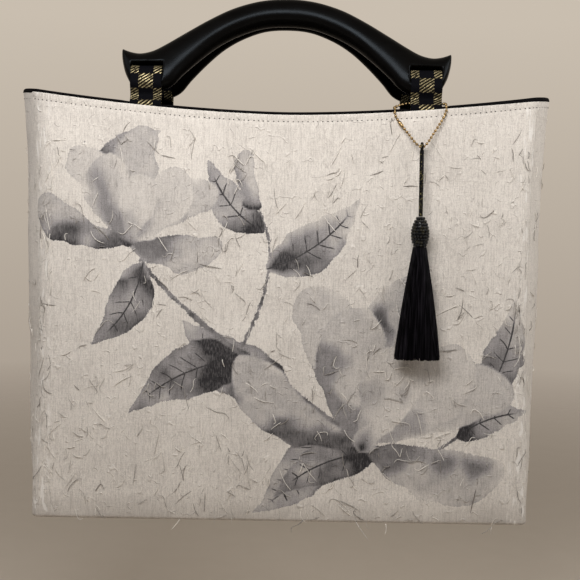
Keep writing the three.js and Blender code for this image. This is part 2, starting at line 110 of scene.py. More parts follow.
BALL_RADIUS = 1.05
BALL_PITCH = 2.8
CHAIN_LOW = np.array([96.2, -53.4, -87.5])
CHAIN_LEFT_X = 77.2
CHAIN_RIGHT_X = 113.2
CHAIN_BEHIND = 4.8
CHAIN_EASE = BALL_RADIUS + GAP
CONNECTOR_FIRST = 7
CONNECTOR_LAST = 8
EYE_RADIUS = 2.5
EYE_CORD_RADIUS = 0.9
CORD_RADIUS = 1.5
CORD_TOP_Z = -90
HEAD_TOP_Z = -136.5
HEAD_LENGTH = 21
HEAD_RADIUS = 6.6
HEAD_Y = -57
SKIRT_LENGTH = 80
SKIRT_ROWS = table("SkirtRow", "share half_x half_y y", [
    (0, 4.6, 4.4, -57),
    (0.15, 6.6, 5.4, -57.2),
    (0.45, 10.6, 6.4, -57.6),
    (0.75, 14, 6.9, -58),
    (1, 16.4, 7, -58.2),
])

# Small sums
CURVE_STEPS = 40
CLOUD_CELLS = 64


def unit(vectors):
    length = np.linalg.norm(vectors, axis=-1, keepdims=True)
    return vectors / np.maximum(length, 1e-9)


def ease(low, high, value):
    """0 below low, 1 above high, and smooth between."""
    share = np.clip((value - low) / (high - low), 0, 1)
    return share * share * (3 - 2 * share)


def turns(count):
    """Angles at even steps round a circle."""
    return 2 * np.pi * np.arange(count) / count


def circle(angles):
    """Points at those angles on a level circle of radius 1."""
    return np.stack([np.cos(angles), np.sin(angles), 0 * angles], 1)


def run_along(line):
    """Length along a line up to each of its points."""
    steps = np.linalg.norm(np.diff(line, axis=0), axis=1)
    return np.concatenate([[0], np.cumsum(steps)])


def along_table(x, xs, ys):
    """A smooth line through the points of a table, held level beyond its ends."""
    xs = np.asarray(xs, float)
    ys = np.asarray(ys, float)
    slopes = np.gradient(ys, xs)
    x = np.clip(x, xs[0], xs[-1])
    k = np.clip(np.searchsorted(xs, x) - 1, 0, len(xs) - 2)
    width = xs[k + 1] - xs[k]
    t = (x - xs[k]) / width
    start = (1 + 2 * t) * (1 - t) ** 2 * ys[k] + t * (1 - t) ** 2 * width * slopes[k]
    end = t * t * (3 - 2 * t) * ys[k + 1] + t * t * (t - 1) * width * slopes[k + 1]
    return start + end


def between(t, start, end, a, b):
    """On the way from a, when t is at its start, to b at its end."""
    return ((end - t) * a + (t - start) * b) / (end - start)


def through(points, count, closed=False):
    """Points at even steps along a centripetal curve through the given points."""
    points = np.asarray(points, float)
    if closed:
        points = np.vstack([points[-1], points, points[:2]])
    else:
        points = np.vstack([2 * points[0] - points[1], points, 2 * points[-1] - points[-2]])
    dense = []
    for p0, p1, p2, p3 in zip(points, points[1:], points[2:], points[3:]):
        t1 = np.linalg.norm(p1 - p0) ** 0.5
        t2 = t1 + np.linalg.norm(p2 - p1) ** 0.5
        t3 = t2 + np.linalg.norm(p3 - p2) ** 0.5
        t = np.linspace(t1, t2, CURVE_STEPS, endpoint=False)[:, None]
        middle = between(t, t1, t2, p1, p2)
        near = between(t, 0, t2, between(t, 0, t1, p0, p1), middle)
        far = between(t, t1, t3, middle, between(t, t2, t3, p2, p3))
        dense.append(between(t, t1, t2, near, far))
    dense = np.vstack([*dense, points[-2]])
    run = run_along(dense)
    wanted = np.linspace(0, run[-1], count, endpoint=not closed)
    return np.stack([np.interp(wanted, run, column) for column in dense.T], 1)


def cloud(x, z, size, seed):
    """Smooth noise from -1 to 1, with features of about that size."""
    lattice = np.random.default_rng(seed).uniform(-1, 1, (CLOUD_CELLS, CLOUD_CELLS))
    u = x / size + 10 * CLOUD_CELLS
    v = z / size + 10 * CLOUD_CELLS
    i = np.floor(u).astype(int)
    j = np.floor(v).astype(int)
    to_right = ease(0, 1, u - i)
    to_top = ease(0, 1, v - j)
    total = 0
    for right, share_u in ((0, 1 - to_right), (1, to_right)):
        for up, share_v in ((0, 1 - to_top), (1, to_top)):
            total = total + lattice[(i + right) % CLOUD_CELLS, (j + up) % CLOUD_CELLS] * share_u * share_v
    return total


# Meshes. A shape is a pair: its points, and groups of faces that list points by number.
SHARP_ANGLE = math.radians(60)


def raw_mesh(name, points, faces):
    mesh = bpy.data.meshes.new(name)
    listed = [face for group in faces for face in np.asarray(group).tolist()]
    mesh.from_pydata((np.asarray(points) * MM).tolist(), [], listed)
    return mesh


def linked(name, data):
    made = bpy.data.objects.new(name, data)
    bpy.context.scene.collection.objects.link(made)
    return made


def place(name, mesh, material, replaces=()):
    """Shows a mesh as a piece of the object."""
    mesh.materials.append(material)
    shown = linked(name, mesh)
    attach(shown, "root")
    if replaces:
        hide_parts(*replaces)
    return shown


def piece(name, shape, material, replaces=(), values=None, uv=None):
    """Shows a shape as a piece. values: one number a point, by name; uv: two numbers a point."""
    mesh = raw_mesh(name, *shape)
    for key, numbers in (values or {}).items():
        attribute = mesh.attributes.new(key, "FLOAT", "POINT")
        attribute.data.foreach_set("value", np.asarray(numbers, np.float32).ravel())
    if uv is not None:
        corners = np.zeros(len(mesh.loops), np.int32)
        mesh.loops.foreach_get("vertex_index", corners)
        layer = mesh.uv_layers.new(name="UVMap")
        layer.data.foreach_set("uv", np.asarray(uv, np.float32)[corners].ravel())
    mesh.shade_smooth()
    mesh.set_sharp_from_angle(angle=SHARP_ANGLE)
    return place(name, mesh, material, replaces)


def grid_faces(rows, columns, closed=False, first=0):
    """Faces of a grid of points, its columns to the right and its rows up as seen from outside."""
    spans = columns if closed else columns - 1
    i = np.arange(rows - 1)[:, None]
    j = np.arange(spans)[None, :]
    right = (j + 1) % columns
    corners = [i * columns + j, i * columns + right, (i + 1) * columns + right, (i + 1) * columns + j]
    return np.stack(corners, -1).reshape(-1, 4) + first


def tube_faces(rows, sides):
    """Faces of a tube of rings with flat ends."""
    ring = np.arange(sides)
    return [grid_faces(rows, sides, closed=True), ring[None, ::-1], ring[None] + (rows - 1) * sides]


def fan_faces(rows, sides):
    """Faces of a tube of rings whose ends close on two more points, listed after the rings."""
    k = np.arange(sides)
    after = (k + 1) % sides
    last = (rows - 1) * sides
    low = np.stack([after, k, np.full(sides, rows * sides)], 1)
    high = np.stack([last + k, last + after, np.full(sides, rows * sides + 1)], 1)
    return [grid_faces(rows, sides, closed=True), low, high]


def flipped(faces):
    return [group[:, ::-1] for group in faces]


def repeated(faces, times, step):
    """The same faces for each of several sets of so many points."""
    first = (np.arange(times) * step)[:, None, None]
    return [(group[None] + first).reshape(-1, group.shape[1]) for group in faces]


def tubes(paths, radius, sides, guide):
    """Closed tubes along many paths at once. guide: a direction that no path runs along."""
    paths = np.asarray(paths, float)
    many, steps = paths.shape[:2]
    radius = np.broadcast_to(radius, (many, steps))
    tangent = unit(np.gradient(paths, axis=1))
    aside = unit(np.cross(tangent, guide))
    above = np.cross(tangent, aside)
    angle = turns(sides)
    ring = np.cos(angle)[:, None] * aside[:, :, None] + np.sin(angle)[:, None] * above[:, :, None]
    points = paths[:, :, None] + radius[:, :, None, None] * ring
    return points.reshape(-1, 3), repeated(tube_faces(steps, sides), many, steps * sides)


def ball(rings, sides):
    """A round ball of radius 1 about the Z axis."""
    tilt = np.linspace(-np.pi / 2, np.pi / 2, rings + 1)[1:-1]
    turn = turns(sides)
    flat = [np.outer(np.cos(tilt), np.cos(turn)), np.outer(np.cos(tilt), np.sin(turn))]
    round_points = np.stack([*flat, np.repeat(np.sin(tilt)[:, None], sides, 1)], -1).reshape(-1, 3)
    return np.vstack([round_points, [[0, 0, -1], [0, 0, 1]]]), fan_faces(rings - 1, sides)


def copies(shape, bases, places):
    """Many copies of one shape. bases: three axes for each copy, sized; places: where each one stands."""
    points, faces = shape
    moved = np.einsum("pk,nkd->npd", points, bases) + np.asarray(places)[:, None]
    return moved.reshape(-1, 3), repeated(faces, len(bases), len(points))


def joined(*shapes):
    """Several shapes as one."""
    faces = []
    count = 0
    for points, groups in shapes:
        faces += [group + count for group in groups]
        count += len(points)
    return np.vstack([points for points, _ in shapes]), faces


# Materials
NOISE_LOW = 0.3
NOISE_HIGH = 0.7


class Field:
    """A value in a tree of nodes, for sums with other values."""

    def __init__(self, nodes, socket):
        self.nodes = nodes
        self.socket = socket

    def __add__(self, other):
        return self.nodes.math("ADD", self, other)

    def __sub__(self, other):
        return self.nodes.math("SUBTRACT", self, other)

    def __mul__(self, other):
        return self.nodes.math("MULTIPLY", self, other)

    def __abs__(self):
        return self.nodes.math("ABSOLUTE", self, 0.0)

    def range(self, low, high, new_low=0.0, new_high=1.0, **settings):
        """The span from low to high as one from new_low to new_high, level beyond it."""
        spans = {"From Min": low, "From Max": high, "To Min": new_low, "To Max": new_high}
        return self.nodes.add("MapRange", {"Value": self, **spans}, **settings)

    def vary(self, new_low, new_high):
        """What a noise mostly covers, as a span from new_low to new_high."""
        return self.range(NOISE_LOW, NOISE_HIGH, new_low, new_high)


class Nodes:
    """A tree of nodes, built one node at a time."""

    def __init__(self, tree):
        self.tree = tree

    def feed(self, socket, value):
        if isinstance(value, Field):
            self.tree.links.new(value.socket, socket)
        else:
            socket.default_value = value

    def add(self, kind, inputs, output=0, **settings):
        node = self.tree.nodes.new("ShaderNode" + kind)
        for name, value in settings.items():
            setattr(node, name, value)
        for key, value in inputs.items():
            self.feed(node.inputs[key], value)
        return Field(self, node.outputs[output])

    def math(self, operation, a, b):
        return self.add("Math", {0: a, 1: b}, operation=operation)

    def mix(self, share, a, b):
        return self.add("MixRGB", {0: share, 1: a, 2: b})


class Finish(Nodes):
    """A material of nodes that ends in one surface shader."""

    def __init__(self, name):
        self.material = bpy.data.materials.new(name)
        self.material.use_nodes = True
        super().__init__(self.material.node_tree)
        self.tree.nodes.clear()
        self.shader = self.tree.nodes.new("ShaderNodeBsdfPrincipled")
        output = self.tree.nodes.new("ShaderNodeOutputMaterial")
        self.tree.links.new(self.shader.outputs[0], output.inputs[0])
        self.here = self.add("TexCoord", {}, "Object")

    def set(self, **sockets):
        """Gives the shader its values, and gives back the material."""
        for name, value in sockets.items():
            self.feed(self.shader.inputs[name.replace("_", " ").title().replace("Ior", "IOR")], value)
        return self.material

    def noise(self, scale, detail=2.0, roughness=0.5, at=None):
        """Cloudy noise. scale: how many features to a metre, one number or one for each axis."""
        at = at or self.here
        if isinstance(scale, tuple):
            at = self.add("Mapping", {"Vector": at, "Scale": scale})
            scale = 1.0
        inputs = {"Vector": at, "Scale": scale, "Detail": detail, "Roughness": roughness}
        return self.add("TexNoise", inputs, "Fac")

    def value(self, name):
        """A number that the points of the mesh carry."""
        return self.add("Attribute", {}, "Fac", attribute_name=name)

    def bump(self, height, distance, strength, under=None):
        inputs = {"Height": height, "Distance": distance, "Strength": strength}
        if under:
            inputs["Normal"] = under
        return self.add("Bump", inputs)


IVORY = (0.78, 0.73, 0.67, 1)
IVORY_DULL = (0.53, 0.49, 0.45, 1)
WORN = (0.92, 0.89, 0.85, 1)
WORN_FROM = 0.163
WORN_TO = 0.173
# Painted shade at the base: its colour, and how far up from the base it reaches
PAINTED_BASE_SHADE = (0.30, 0.265, 0.23, 1)
BASE_SHADE_REACH = 0.020
WASH_PALE = (0.36, 0.34, 0.34, 1)
WASH_DEEP = (0.17, 0.158, 0.158, 1)
WASH_FULL = 0.55
INK = (0.022, 0.020, 0.022, 1)
EDGE_REACH = 3
VEIN_PITCH = 10
FLOAT_SLANT = math.radians(-33)


def obi_cloth(name, painted):
    """Ribbed ivory crepe, uneven in tone, with painted shade at the base. A painted one takes ink from its
    points.
    """
    f = Finish(name)
    ribs = f.noise((1200, 1200, 280), 3.0, 0.6)
    warp = f.noise((1250, 1250, 62))
    weft = f.noise((130, 130, 1250))
    patches = f.noise(22.0, 3.0, 0.55)
    grain = f.noise(1300.0)
    hairlines = warp.range(0.50, 0.66, 0.0, 0.36) + weft.range(0.50, 0.66, 0.0, 0.20)
    streaks = ribs.vary(-0.16, 0.46) + grain.vary(-0.34, 0.34) + hairlines
    tone = streaks + patches.vary(0.0, 0.36)
    winding = abs(f.noise(105.0, 1.0) - 0.5)
    couched = winding.range(0.023, 0.006) * f.noise(150.0, 1.0).range(0.56, 0.63)
    colour = f.mix(couched * 0.5, f.mix(tone, IVORY, IVORY_DULL), IVORY)
    height = f.add("SeparateXYZ", {0: f.here}, "Z")
    # Painted shade: the cloth's colour darkens towards the base, standing in for shade where the bottom
    # turns under
    painted_base_shade = height.range(BASE_Z * MM + BASE_SHADE_REACH, BASE_Z * MM, 0.0, 0.65)
    colour = f.mix(painted_base_shade * patches.vary(0.5, 1.0), colour, PAINTED_BASE_SHADE)
    if painted:
        aside = abs(f.add("SeparateXYZ", {0: f.here}, "X"))
        flecks = f.noise((420, 420, 90), 1.0).range(0.58, 0.64)
        colour = f.mix(aside.range(WORN_FROM, WORN_TO, 0.0, 0.6) * flecks, colour, WORN)
        wash = f.value("ink") * ribs.range(0.25, 0.75, 1.12, 0.82) * patches.vary(0.92, 1.06)
        teeth = ribs.vary(-0.5, 0.5) + grain.vary(-0.3, 0.3)
        within = (f.value("edge") + teeth).range(-0.25, 0.25)
        rough = teeth * 0.5
        vein_off = f.math("PINGPONG", f.value("vein_at"), 0.5) * VEIN_PITCH
        vein = (vein_off + rough).range(0.85, 0.35) * f.value("vein")
        rib = (abs(f.value("rib_at")) + rough).range(0.95, 0.45) * f.value("rib")
        drawn = f.math("MAXIMUM", vein, rib) * 0.96
        ink = f.math("MAXIMUM", wash, drawn) * within
        washed = f.mix(ink.range(0.0, WASH_FULL), colour, f.mix(streaks, WASH_PALE, WASH_DEEP))
        colour = f.mix(ink.range(WASH_FULL, 1.0), washed, INK)
    low = f.bump(couched, 0.0006, 0.70, f.bump(ribs * 0.6 + warp * 0.35, 0.0007, 0.60))
    return f.set(base_color=colour, roughness=patches.vary(0.72, 0.86), specular_ior_level=0.3,
                 sheen_weight=0.15, sheen_roughness=0.5, normal=f.bump(grain, 0.0002, 0.5, low))


def cut_thread():
    """Loose weft ends, from ivory to taupe, the darker ones partly painted shadow of the threads on the
    cloth.
    """
    f = Finish("cut_thread")
    twist = f.noise(1500.0, 1.0)
    thread_tone_and_shadow = f.value("thread_tone_and_shadow") + twist.vary(-0.12, 0.12)
    return f.set(base_color=f.mix(thread_tone_and_shadow, (0.80, 0.76, 0.70, 1), (0.13, 0.11, 0.095, 1)), roughness=0.6,
                 sheen_weight=0.2, normal=f.bump(twist, 0.0002, 0.5))


def black_cloth():
    """The lining: black satin with a fine twill."""
    f = Finish("black_lining")
    wave = {"Vector": f.here, "Scale": 900.0, "Distortion": 0.6}
    twill = f.add("TexWave", wave, "Fac", bands_direction="DIAGONAL")
    patches = f.noise(60.0)
    return f.set(base_color=f.mix(patches, (0.003, 0.003, 0.0033, 1), (0.007, 0.0065, 0.007, 1)),
                 roughness=patches.vary(0.55, 0.7), specular_ior_level=0.01,
                 normal=f.bump(twill, 0.0001, 0.4))


def lacquer():
    """Black lacquered wood: faint long grain and uneven gloss."""
    f = Finish("black_lacquer")
    grain = f.noise((40, 260, 260), 4.0, 0.6)
    return f.set(base_color=f.mix(grain, (0.0016, 0.0014, 0.0012, 1), (0.004, 0.0034, 0.003, 1)),
                 roughness=f.noise(35.0, 3.0).vary(0.23, 0.33), specular_ior_level=0.076,
                 specular_tint=(0.74, 0.87, 1.0, 1), normal=f.bump(grain, 0.0002, 0.06))


def brocade():
    """Woven checks of black and gold, a square to each unit, the gold in slanting floats."""
    f = Finish("check_brocade")
    at = f.add("UVMap", {}, uv_map="UVMap")
    check = f.add("TexChecker", {"Vector": at, "Scale": 1.0}, "Fac")
    slanted = f.add("Mapping", {"Vector": at, "Rotation": (0, 0, FLOAT_SLANT)})
    wave = {"Vector": slanted, "Scale": 1.75, "Distortion": 1.2, "Detail": 1.0, "Detail Scale": 6.0}
    floats = f.add("TexWave", wave, "Fac", bands_direction="Y")
    breaks = f.noise((3.2, 11, 1), 1.0, at=slanted)
    gold = check * (floats.range(0.60, 0.82) * breaks.range(0.36, 0.48))
    wave = {"Vector": slanted, "Scale": 3.4, "Distortion": 0.5}
    twill = f.add("TexWave", wave, "Fac", bands_direction="Y")
    black = f.mix(twill, (0.0012, 0.0012, 0.0015, 1), (0.0035, 0.0037, 0.006, 1))
    ground = f.mix(check, black, (0.012, 0.010, 0.006, 1))
    thread = f.mix(f.noise(9.0, at=at), (0.20, 0.16, 0.08, 1), (0.60, 0.51, 0.30, 1))
    return f.set(base_color=f.mix(gold, ground, thread), metallic=gold * 0.75,
                 roughness=gold.range(0.0, 1.0, 0.7, 0.40), specular_ior_level=0.04,
                 normal=f.bump(gold * 0.8 + twill * 0.3, 0.0004, 0.8))


def gold_metal():
    """Brass plated gold, a little dull between bright spots."""
    f = Finish("gold_chain")
    tarnish = f.noise(500.0, 3.0)
    return f.set(base_color=f.mix(tarnish, (0.52, 0.37, 0.18, 1), (0.20, 0.13, 0.06, 1)), metallic=1.0,
                 roughness=tarnish.vary(0.24, 0.40))


def black_silk(name, glinted):
    """Black thread with a soft shine. A glinted one has painted glints of green and gold in the colour of
    its plies.
    """
    f = Finish(name)
    fibre = f.noise((1000, 1000, 30))
    colour = f.mix(fibre.range(0.45, 0.75), (0.0012, 0.001, 0.0015, 1), (0.016, 0.014, 0.018, 1))
    if glinted:
        # Painted glints: gold-green spots in the colour stand in for highlights on the plies
        colour = f.mix(f.noise(900.0, 1.0).range(0.60, 0.68) * 0.85, colour, (0.21, 0.18, 0.08, 1))
    return f.set(base_color=colour, roughness=0.5, specular_ior_level=0.06,
                 normal=f.bump(fibre, 0.0002, 0.4))


def bead_glass():
    """Black glass beads, some with painted glints of faint gold and green in their colour."""
    f = Finish("seed_beads")
    # Painted glints: faint gold-green spots in the colour stand in for highlights on the glass
    painted_glints = f.noise(420.0, 1.0).range(0.52, 0.66)
    hue = f.noise(700.0, 1.0)
    glint_colour = f.mix(hue, (0.05, 0.055, 0.028, 1), (0.09, 0.065, 0.025, 1))
    return f.set(base_color=f.mix(painted_glints * 0.3, (0.004, 0.004, 0.005, 1), glint_colour),
                 roughness=hue.vary(0.14, 0.26), specular_ior_level=0.2)


CLOTH_PLAIN = obi_cloth("obi_cloth_plain", False)
CLOTH_PAINTED = obi_cloth("obi_cloth_painted", True)
CUT_THREAD = cut_thread()
WOOD = lacquer()
SILK = black_silk("black_silk", False)
SILK_GLINTED = black_silk("black_silk_glinted", True)

# Bag body
COLUMN_STEP = 0.002
HEIGHT_STEP = 0.2


def rim_z(x):
    return RIM_Z + RIM_RISE * (np.abs(x) / MOUTH_HALF_WIDTH) ** RIM_RISE_POWER


def section_at(height):
    heights = [s.height for s in SECTIONS]
    inset = BASE_ROUND - np.sqrt(np.maximum(BASE_ROUND**2 - np.maximum(BASE_ROUND - height, 0) ** 2, 0))
    sizes = [along_table(height, heights, column) for column in list(zip(*SECTIONS))[1:]]
    half_width, half_depth, corner, bulge, belly = sizes
    return half_width - inset, half_depth - inset, corner - inset, bulge, belly


def lead_angle(half_depth, corner, bulge):
    """The angle from the X axis at which a corner's arc runs on smoothly into the curve of the gusset."""
    lead = np.zeros_like(bulge)
    for _ in range(12):
        lead = np.arctan2(2 * bulge, half_depth - corner * (1 - np.sin(lead)))
    return lead


def outer(column, height):
    """Points of the body's outer surface, front and right side.

    column: -1 to 1 along the front, 1 to 2 round a corner, and 2 to 4 across a gusset to the back.
    """
    half_width, half_depth, corner, bulge, belly = section_at(height)
    c = np.abs(column)
    ahead = np.minimum(c, 1)
    lead = lead_angle(half_depth, corner, bulge)
    angle = -np.pi / 2 + (np.pi / 2 - lead) * np.clip(c - 1, 0, 1)
    share = np.clip(c - 2, 0, 2) - 1
    x = (half_width - corner) * ahead + corner * np.cos(angle) + bulge * (1 - share**2)
    y = -half_depth + corner * (1 + np.sin(angle)) - belly * (1 - ahead**2)
    x = np.where(column < 0, -x, x)
    z = BASE_Z + height / TOP * (rim_z(x) - BASE_Z)
    return np.stack([x, -share * y, z], -1)


def skin(column, height, depth=0.0):
    """Points of the body's surface moved in by a depth, and the outward directions there."""
    column, height, depth = np.broadcast_arrays(*[np.asarray(v, float) for v in (column, height, depth)])
    along = outer(column + COLUMN_STEP, height) - outer(column - COLUMN_STEP, height)
    above = np.minimum(height + HEIGHT_STEP, TOP)
    below = np.maximum(height - HEIGHT_STEP, 0)
    outward = unit(np.cross(along, outer(column, above) - outer(column, below)))
    return outer(column, height) - depth[..., None] * outward, outward


def front_at(x, z):
    """Column and height of the front where it has that x and z."""
    height = (z - BASE_Z) / (rim_z(x) - BASE_Z) * TOP
    half_width, _, corner, _, _ = section_at(height)
    flat = half_width - corner
    past = np.arcsin(np.clip((np.abs(x) - flat) / corner, 0, 0.9)) / (np.pi / 2)
    return np.where(np.abs(x) < flat, x / flat, np.sign(x) * (1 + past)), height


def turned(points):
    """The same, half a turn round the bag."""
    return np.asarray(points) * [-1, -1, 1]


def turned_shape(shape):
    return turned(shape[0]), shape[1]


RIM_ROLL = 0.9
ROLL_STEPS = 4
GROOVE = 0.3
GROOVE_HALF = 1.1
STITCH_DEPTH = 4.9
STITCH_PITCH = 3.5
STITCH_HALF = 0.48
LUMP = 46
RIPPLE = 19
CALM_ENDS = 14
CALM_BASE = 30
CALM_RIM = 25
INNER_ROWS = 24
INNER_COLUMNS = 30


def panel_rows(step):
    """Heights of a panel's rows, and how far each is set in where the cloth turns over at the rim."""
    turn = np.linspace(0, np.pi / 2, 7)[:-1]
    rolled = np.linspace(0, np.pi / 2, ROLL_STEPS + 1)[1:]
    main = np.linspace(BASE_ROUND, TOP - RIM_ROLL, int((TOP - BASE_ROUND) / step))
    over = TOP - RIM_ROLL * (1 - np.sin(rolled))
    heights = np.concatenate([BASE_ROUND * (1 - np.cos(turn)), main, over])
    depths = np.concatenate([np.zeros(len(heights) - ROLL_STEPS), RIM_ROLL * (1 - np.cos(rolled))])
    return heights, depths + GROOVE * np.exp(-(((heights - TOP + STITCH_DEPTH) / GROOVE_HALF) ** 2))


def panel(columns, row_step, seed, swell):
    """A cloth panel: a fine outer skin, a coarse inner one, and edges that close it.

    Gives the shape, and how many of its points are in the outer skin.
    """
    heights, depths = panel_rows(row_step)
    flat = outer(columns[None, :], heights[:, None])
    spread = flat[..., 0] + 1.7 * flat[..., 1]
    uneven = cloud(spread, flat[..., 2], LUMP, seed) + 0.5 * cloud(spread, flat[..., 2], RIPPLE, seed + 1)
    calm = ease(0, CALM_BASE, heights)[:, None] * ease(0, CALM_RIM, TOP - heights)[:, None]
    for end in (spread[:, :1], spread[:, -1:]):
        calm = calm * ease(0, CALM_ENDS, np.abs(spread - end))
    shell, _ = skin(columns[None, :], heights[:, None], depths[:, None] - swell * uneven * calm)
    rows, count = shell.shape[:2]
    kept_rows = np.unique(np.linspace(0, rows - 1 - ROLL_STEPS, INNER_ROWS).astype(int))
    kept_columns = np.unique(np.linspace(0, count - 1, INNER_COLUMNS).astype(int))
    lining_side, _ = skin(columns[kept_columns][None, :], heights[kept_rows][:, None], float(CLOTH))
    first = rows * count
    inner_count = len(kept_columns)
    faces = [grid_faces(rows, count), grid_faces(len(kept_rows), inner_count, first=first)[:, ::-1]]
    outside = np.arange(first).reshape(rows, count)
    inside = first + np.arange(len(kept_rows) * inner_count).reshape(-1, inner_count)
    border = kept_rows.copy()
    border[-1] = rows - 1
    for k, (a, b) in enumerate(zip(kept_columns, kept_columns[1:])):
        faces.append([[*outside[0, a:b + 1][::-1], inside[0, k], inside[0, k + 1]]])
        faces.append([[*outside[-1, a:b + 1], inside[-1, k + 1], inside[-1, k]]])
    for k, (a, b) in enumerate(zip(border, border[1:])):
        faces.append([[*outside[a:b + 1, 0], inside[k + 1, 0], inside[k, 0]]])
        faces.append([[*outside[a:b + 1, -1][::-1], inside[k, -1], inside[k + 1, -1]]])
    return (np.vstack([shell.reshape(-1, 3), lining_side.reshape(-1, 3)]), faces), first


# Ink painting on the front: blossoms, leaves and a branch in washes of grey, laid one over the other
Stroke = namedtuple("Stroke", "x z turn length width bend tone")
BRANCH = [(104, -324, 5.0), (62, -303, 4.6), (6, -262, 4.2), (-44, -226, 3.8), (-84, -192, 3.2),
          (-116, -150, 2.6), (-134, -112, 2.0), (-142, -88, 1.4)]
TWIGS = [
    [(-30, -236, 2.6), (-14, -196, 2.2), (-10, -160, 1.8), (-18, -132, 1.5)],
    [(90, -318, 2.8), (128, -296, 2.2), (148, -266, 1.6)],
]
LEAVES = [Stroke(*row) for row in [
    (6, -262, 148, 92, 46, 9, 0.78),
    (-20, -240, 205, 100, 44, -10, 0.86),
    (34, -286, 232, 88, 42, 9, 0.70),
    (70, -308, 205, 82, 36, -8, 0.88),
    (-12, -176, 38, 84, 38, -8, 0.76),
    (-14, -150, 128, 66, 30, 7, 0.60),
    (128, -296, 20, 56, 26, 5, 0.84),
    (146, -268, 74, 78, 32, -6, 0.68),
    (-132, -116, 40, 58, 27, 6, 0.74),
    (-100, -172, 238, 72, 33, 8, 0.86),
]]
LEAVES_BEHIND = 4
BLOOMS = table("Bloom", "x z turn size", [(58, -302, 68, 128), (-112, -158, 78, 82)])
PETALS = table("Petal", "turn length width bend tone", [
    (-46, 0.92, 0.40, 6, 0.52),
    (42, 0.94, 0.42, -6, 0.44),
    (4, 1.02, 0.44, 3, 0.60),
    (-80, 0.84, 0.36, -9, 0.54),
    (78, 0.86, 0.37, 10, 0.62),
    (-26, 0.80, 0.46, -4, 0.36),
    (24, 0.78, 0.45, 5, 0.48),
    (-2, 0.60, 0.40, -2, 0.28),
])
BUD = Stroke(-18, -134, 104, 44, 19, 3, 0.44)
Wave = namedtuple("Wave", "height size apart fuzz reach")
LEAF_WAVE = Wave(1.8, 7, 30, 2.6, 6)
PETAL_WAVE = Wave(2.6, 13, 40, 3, 8)
FUZZ = 0.6
BRANCH_STEPS = 160
KNOT_EVERY = 37


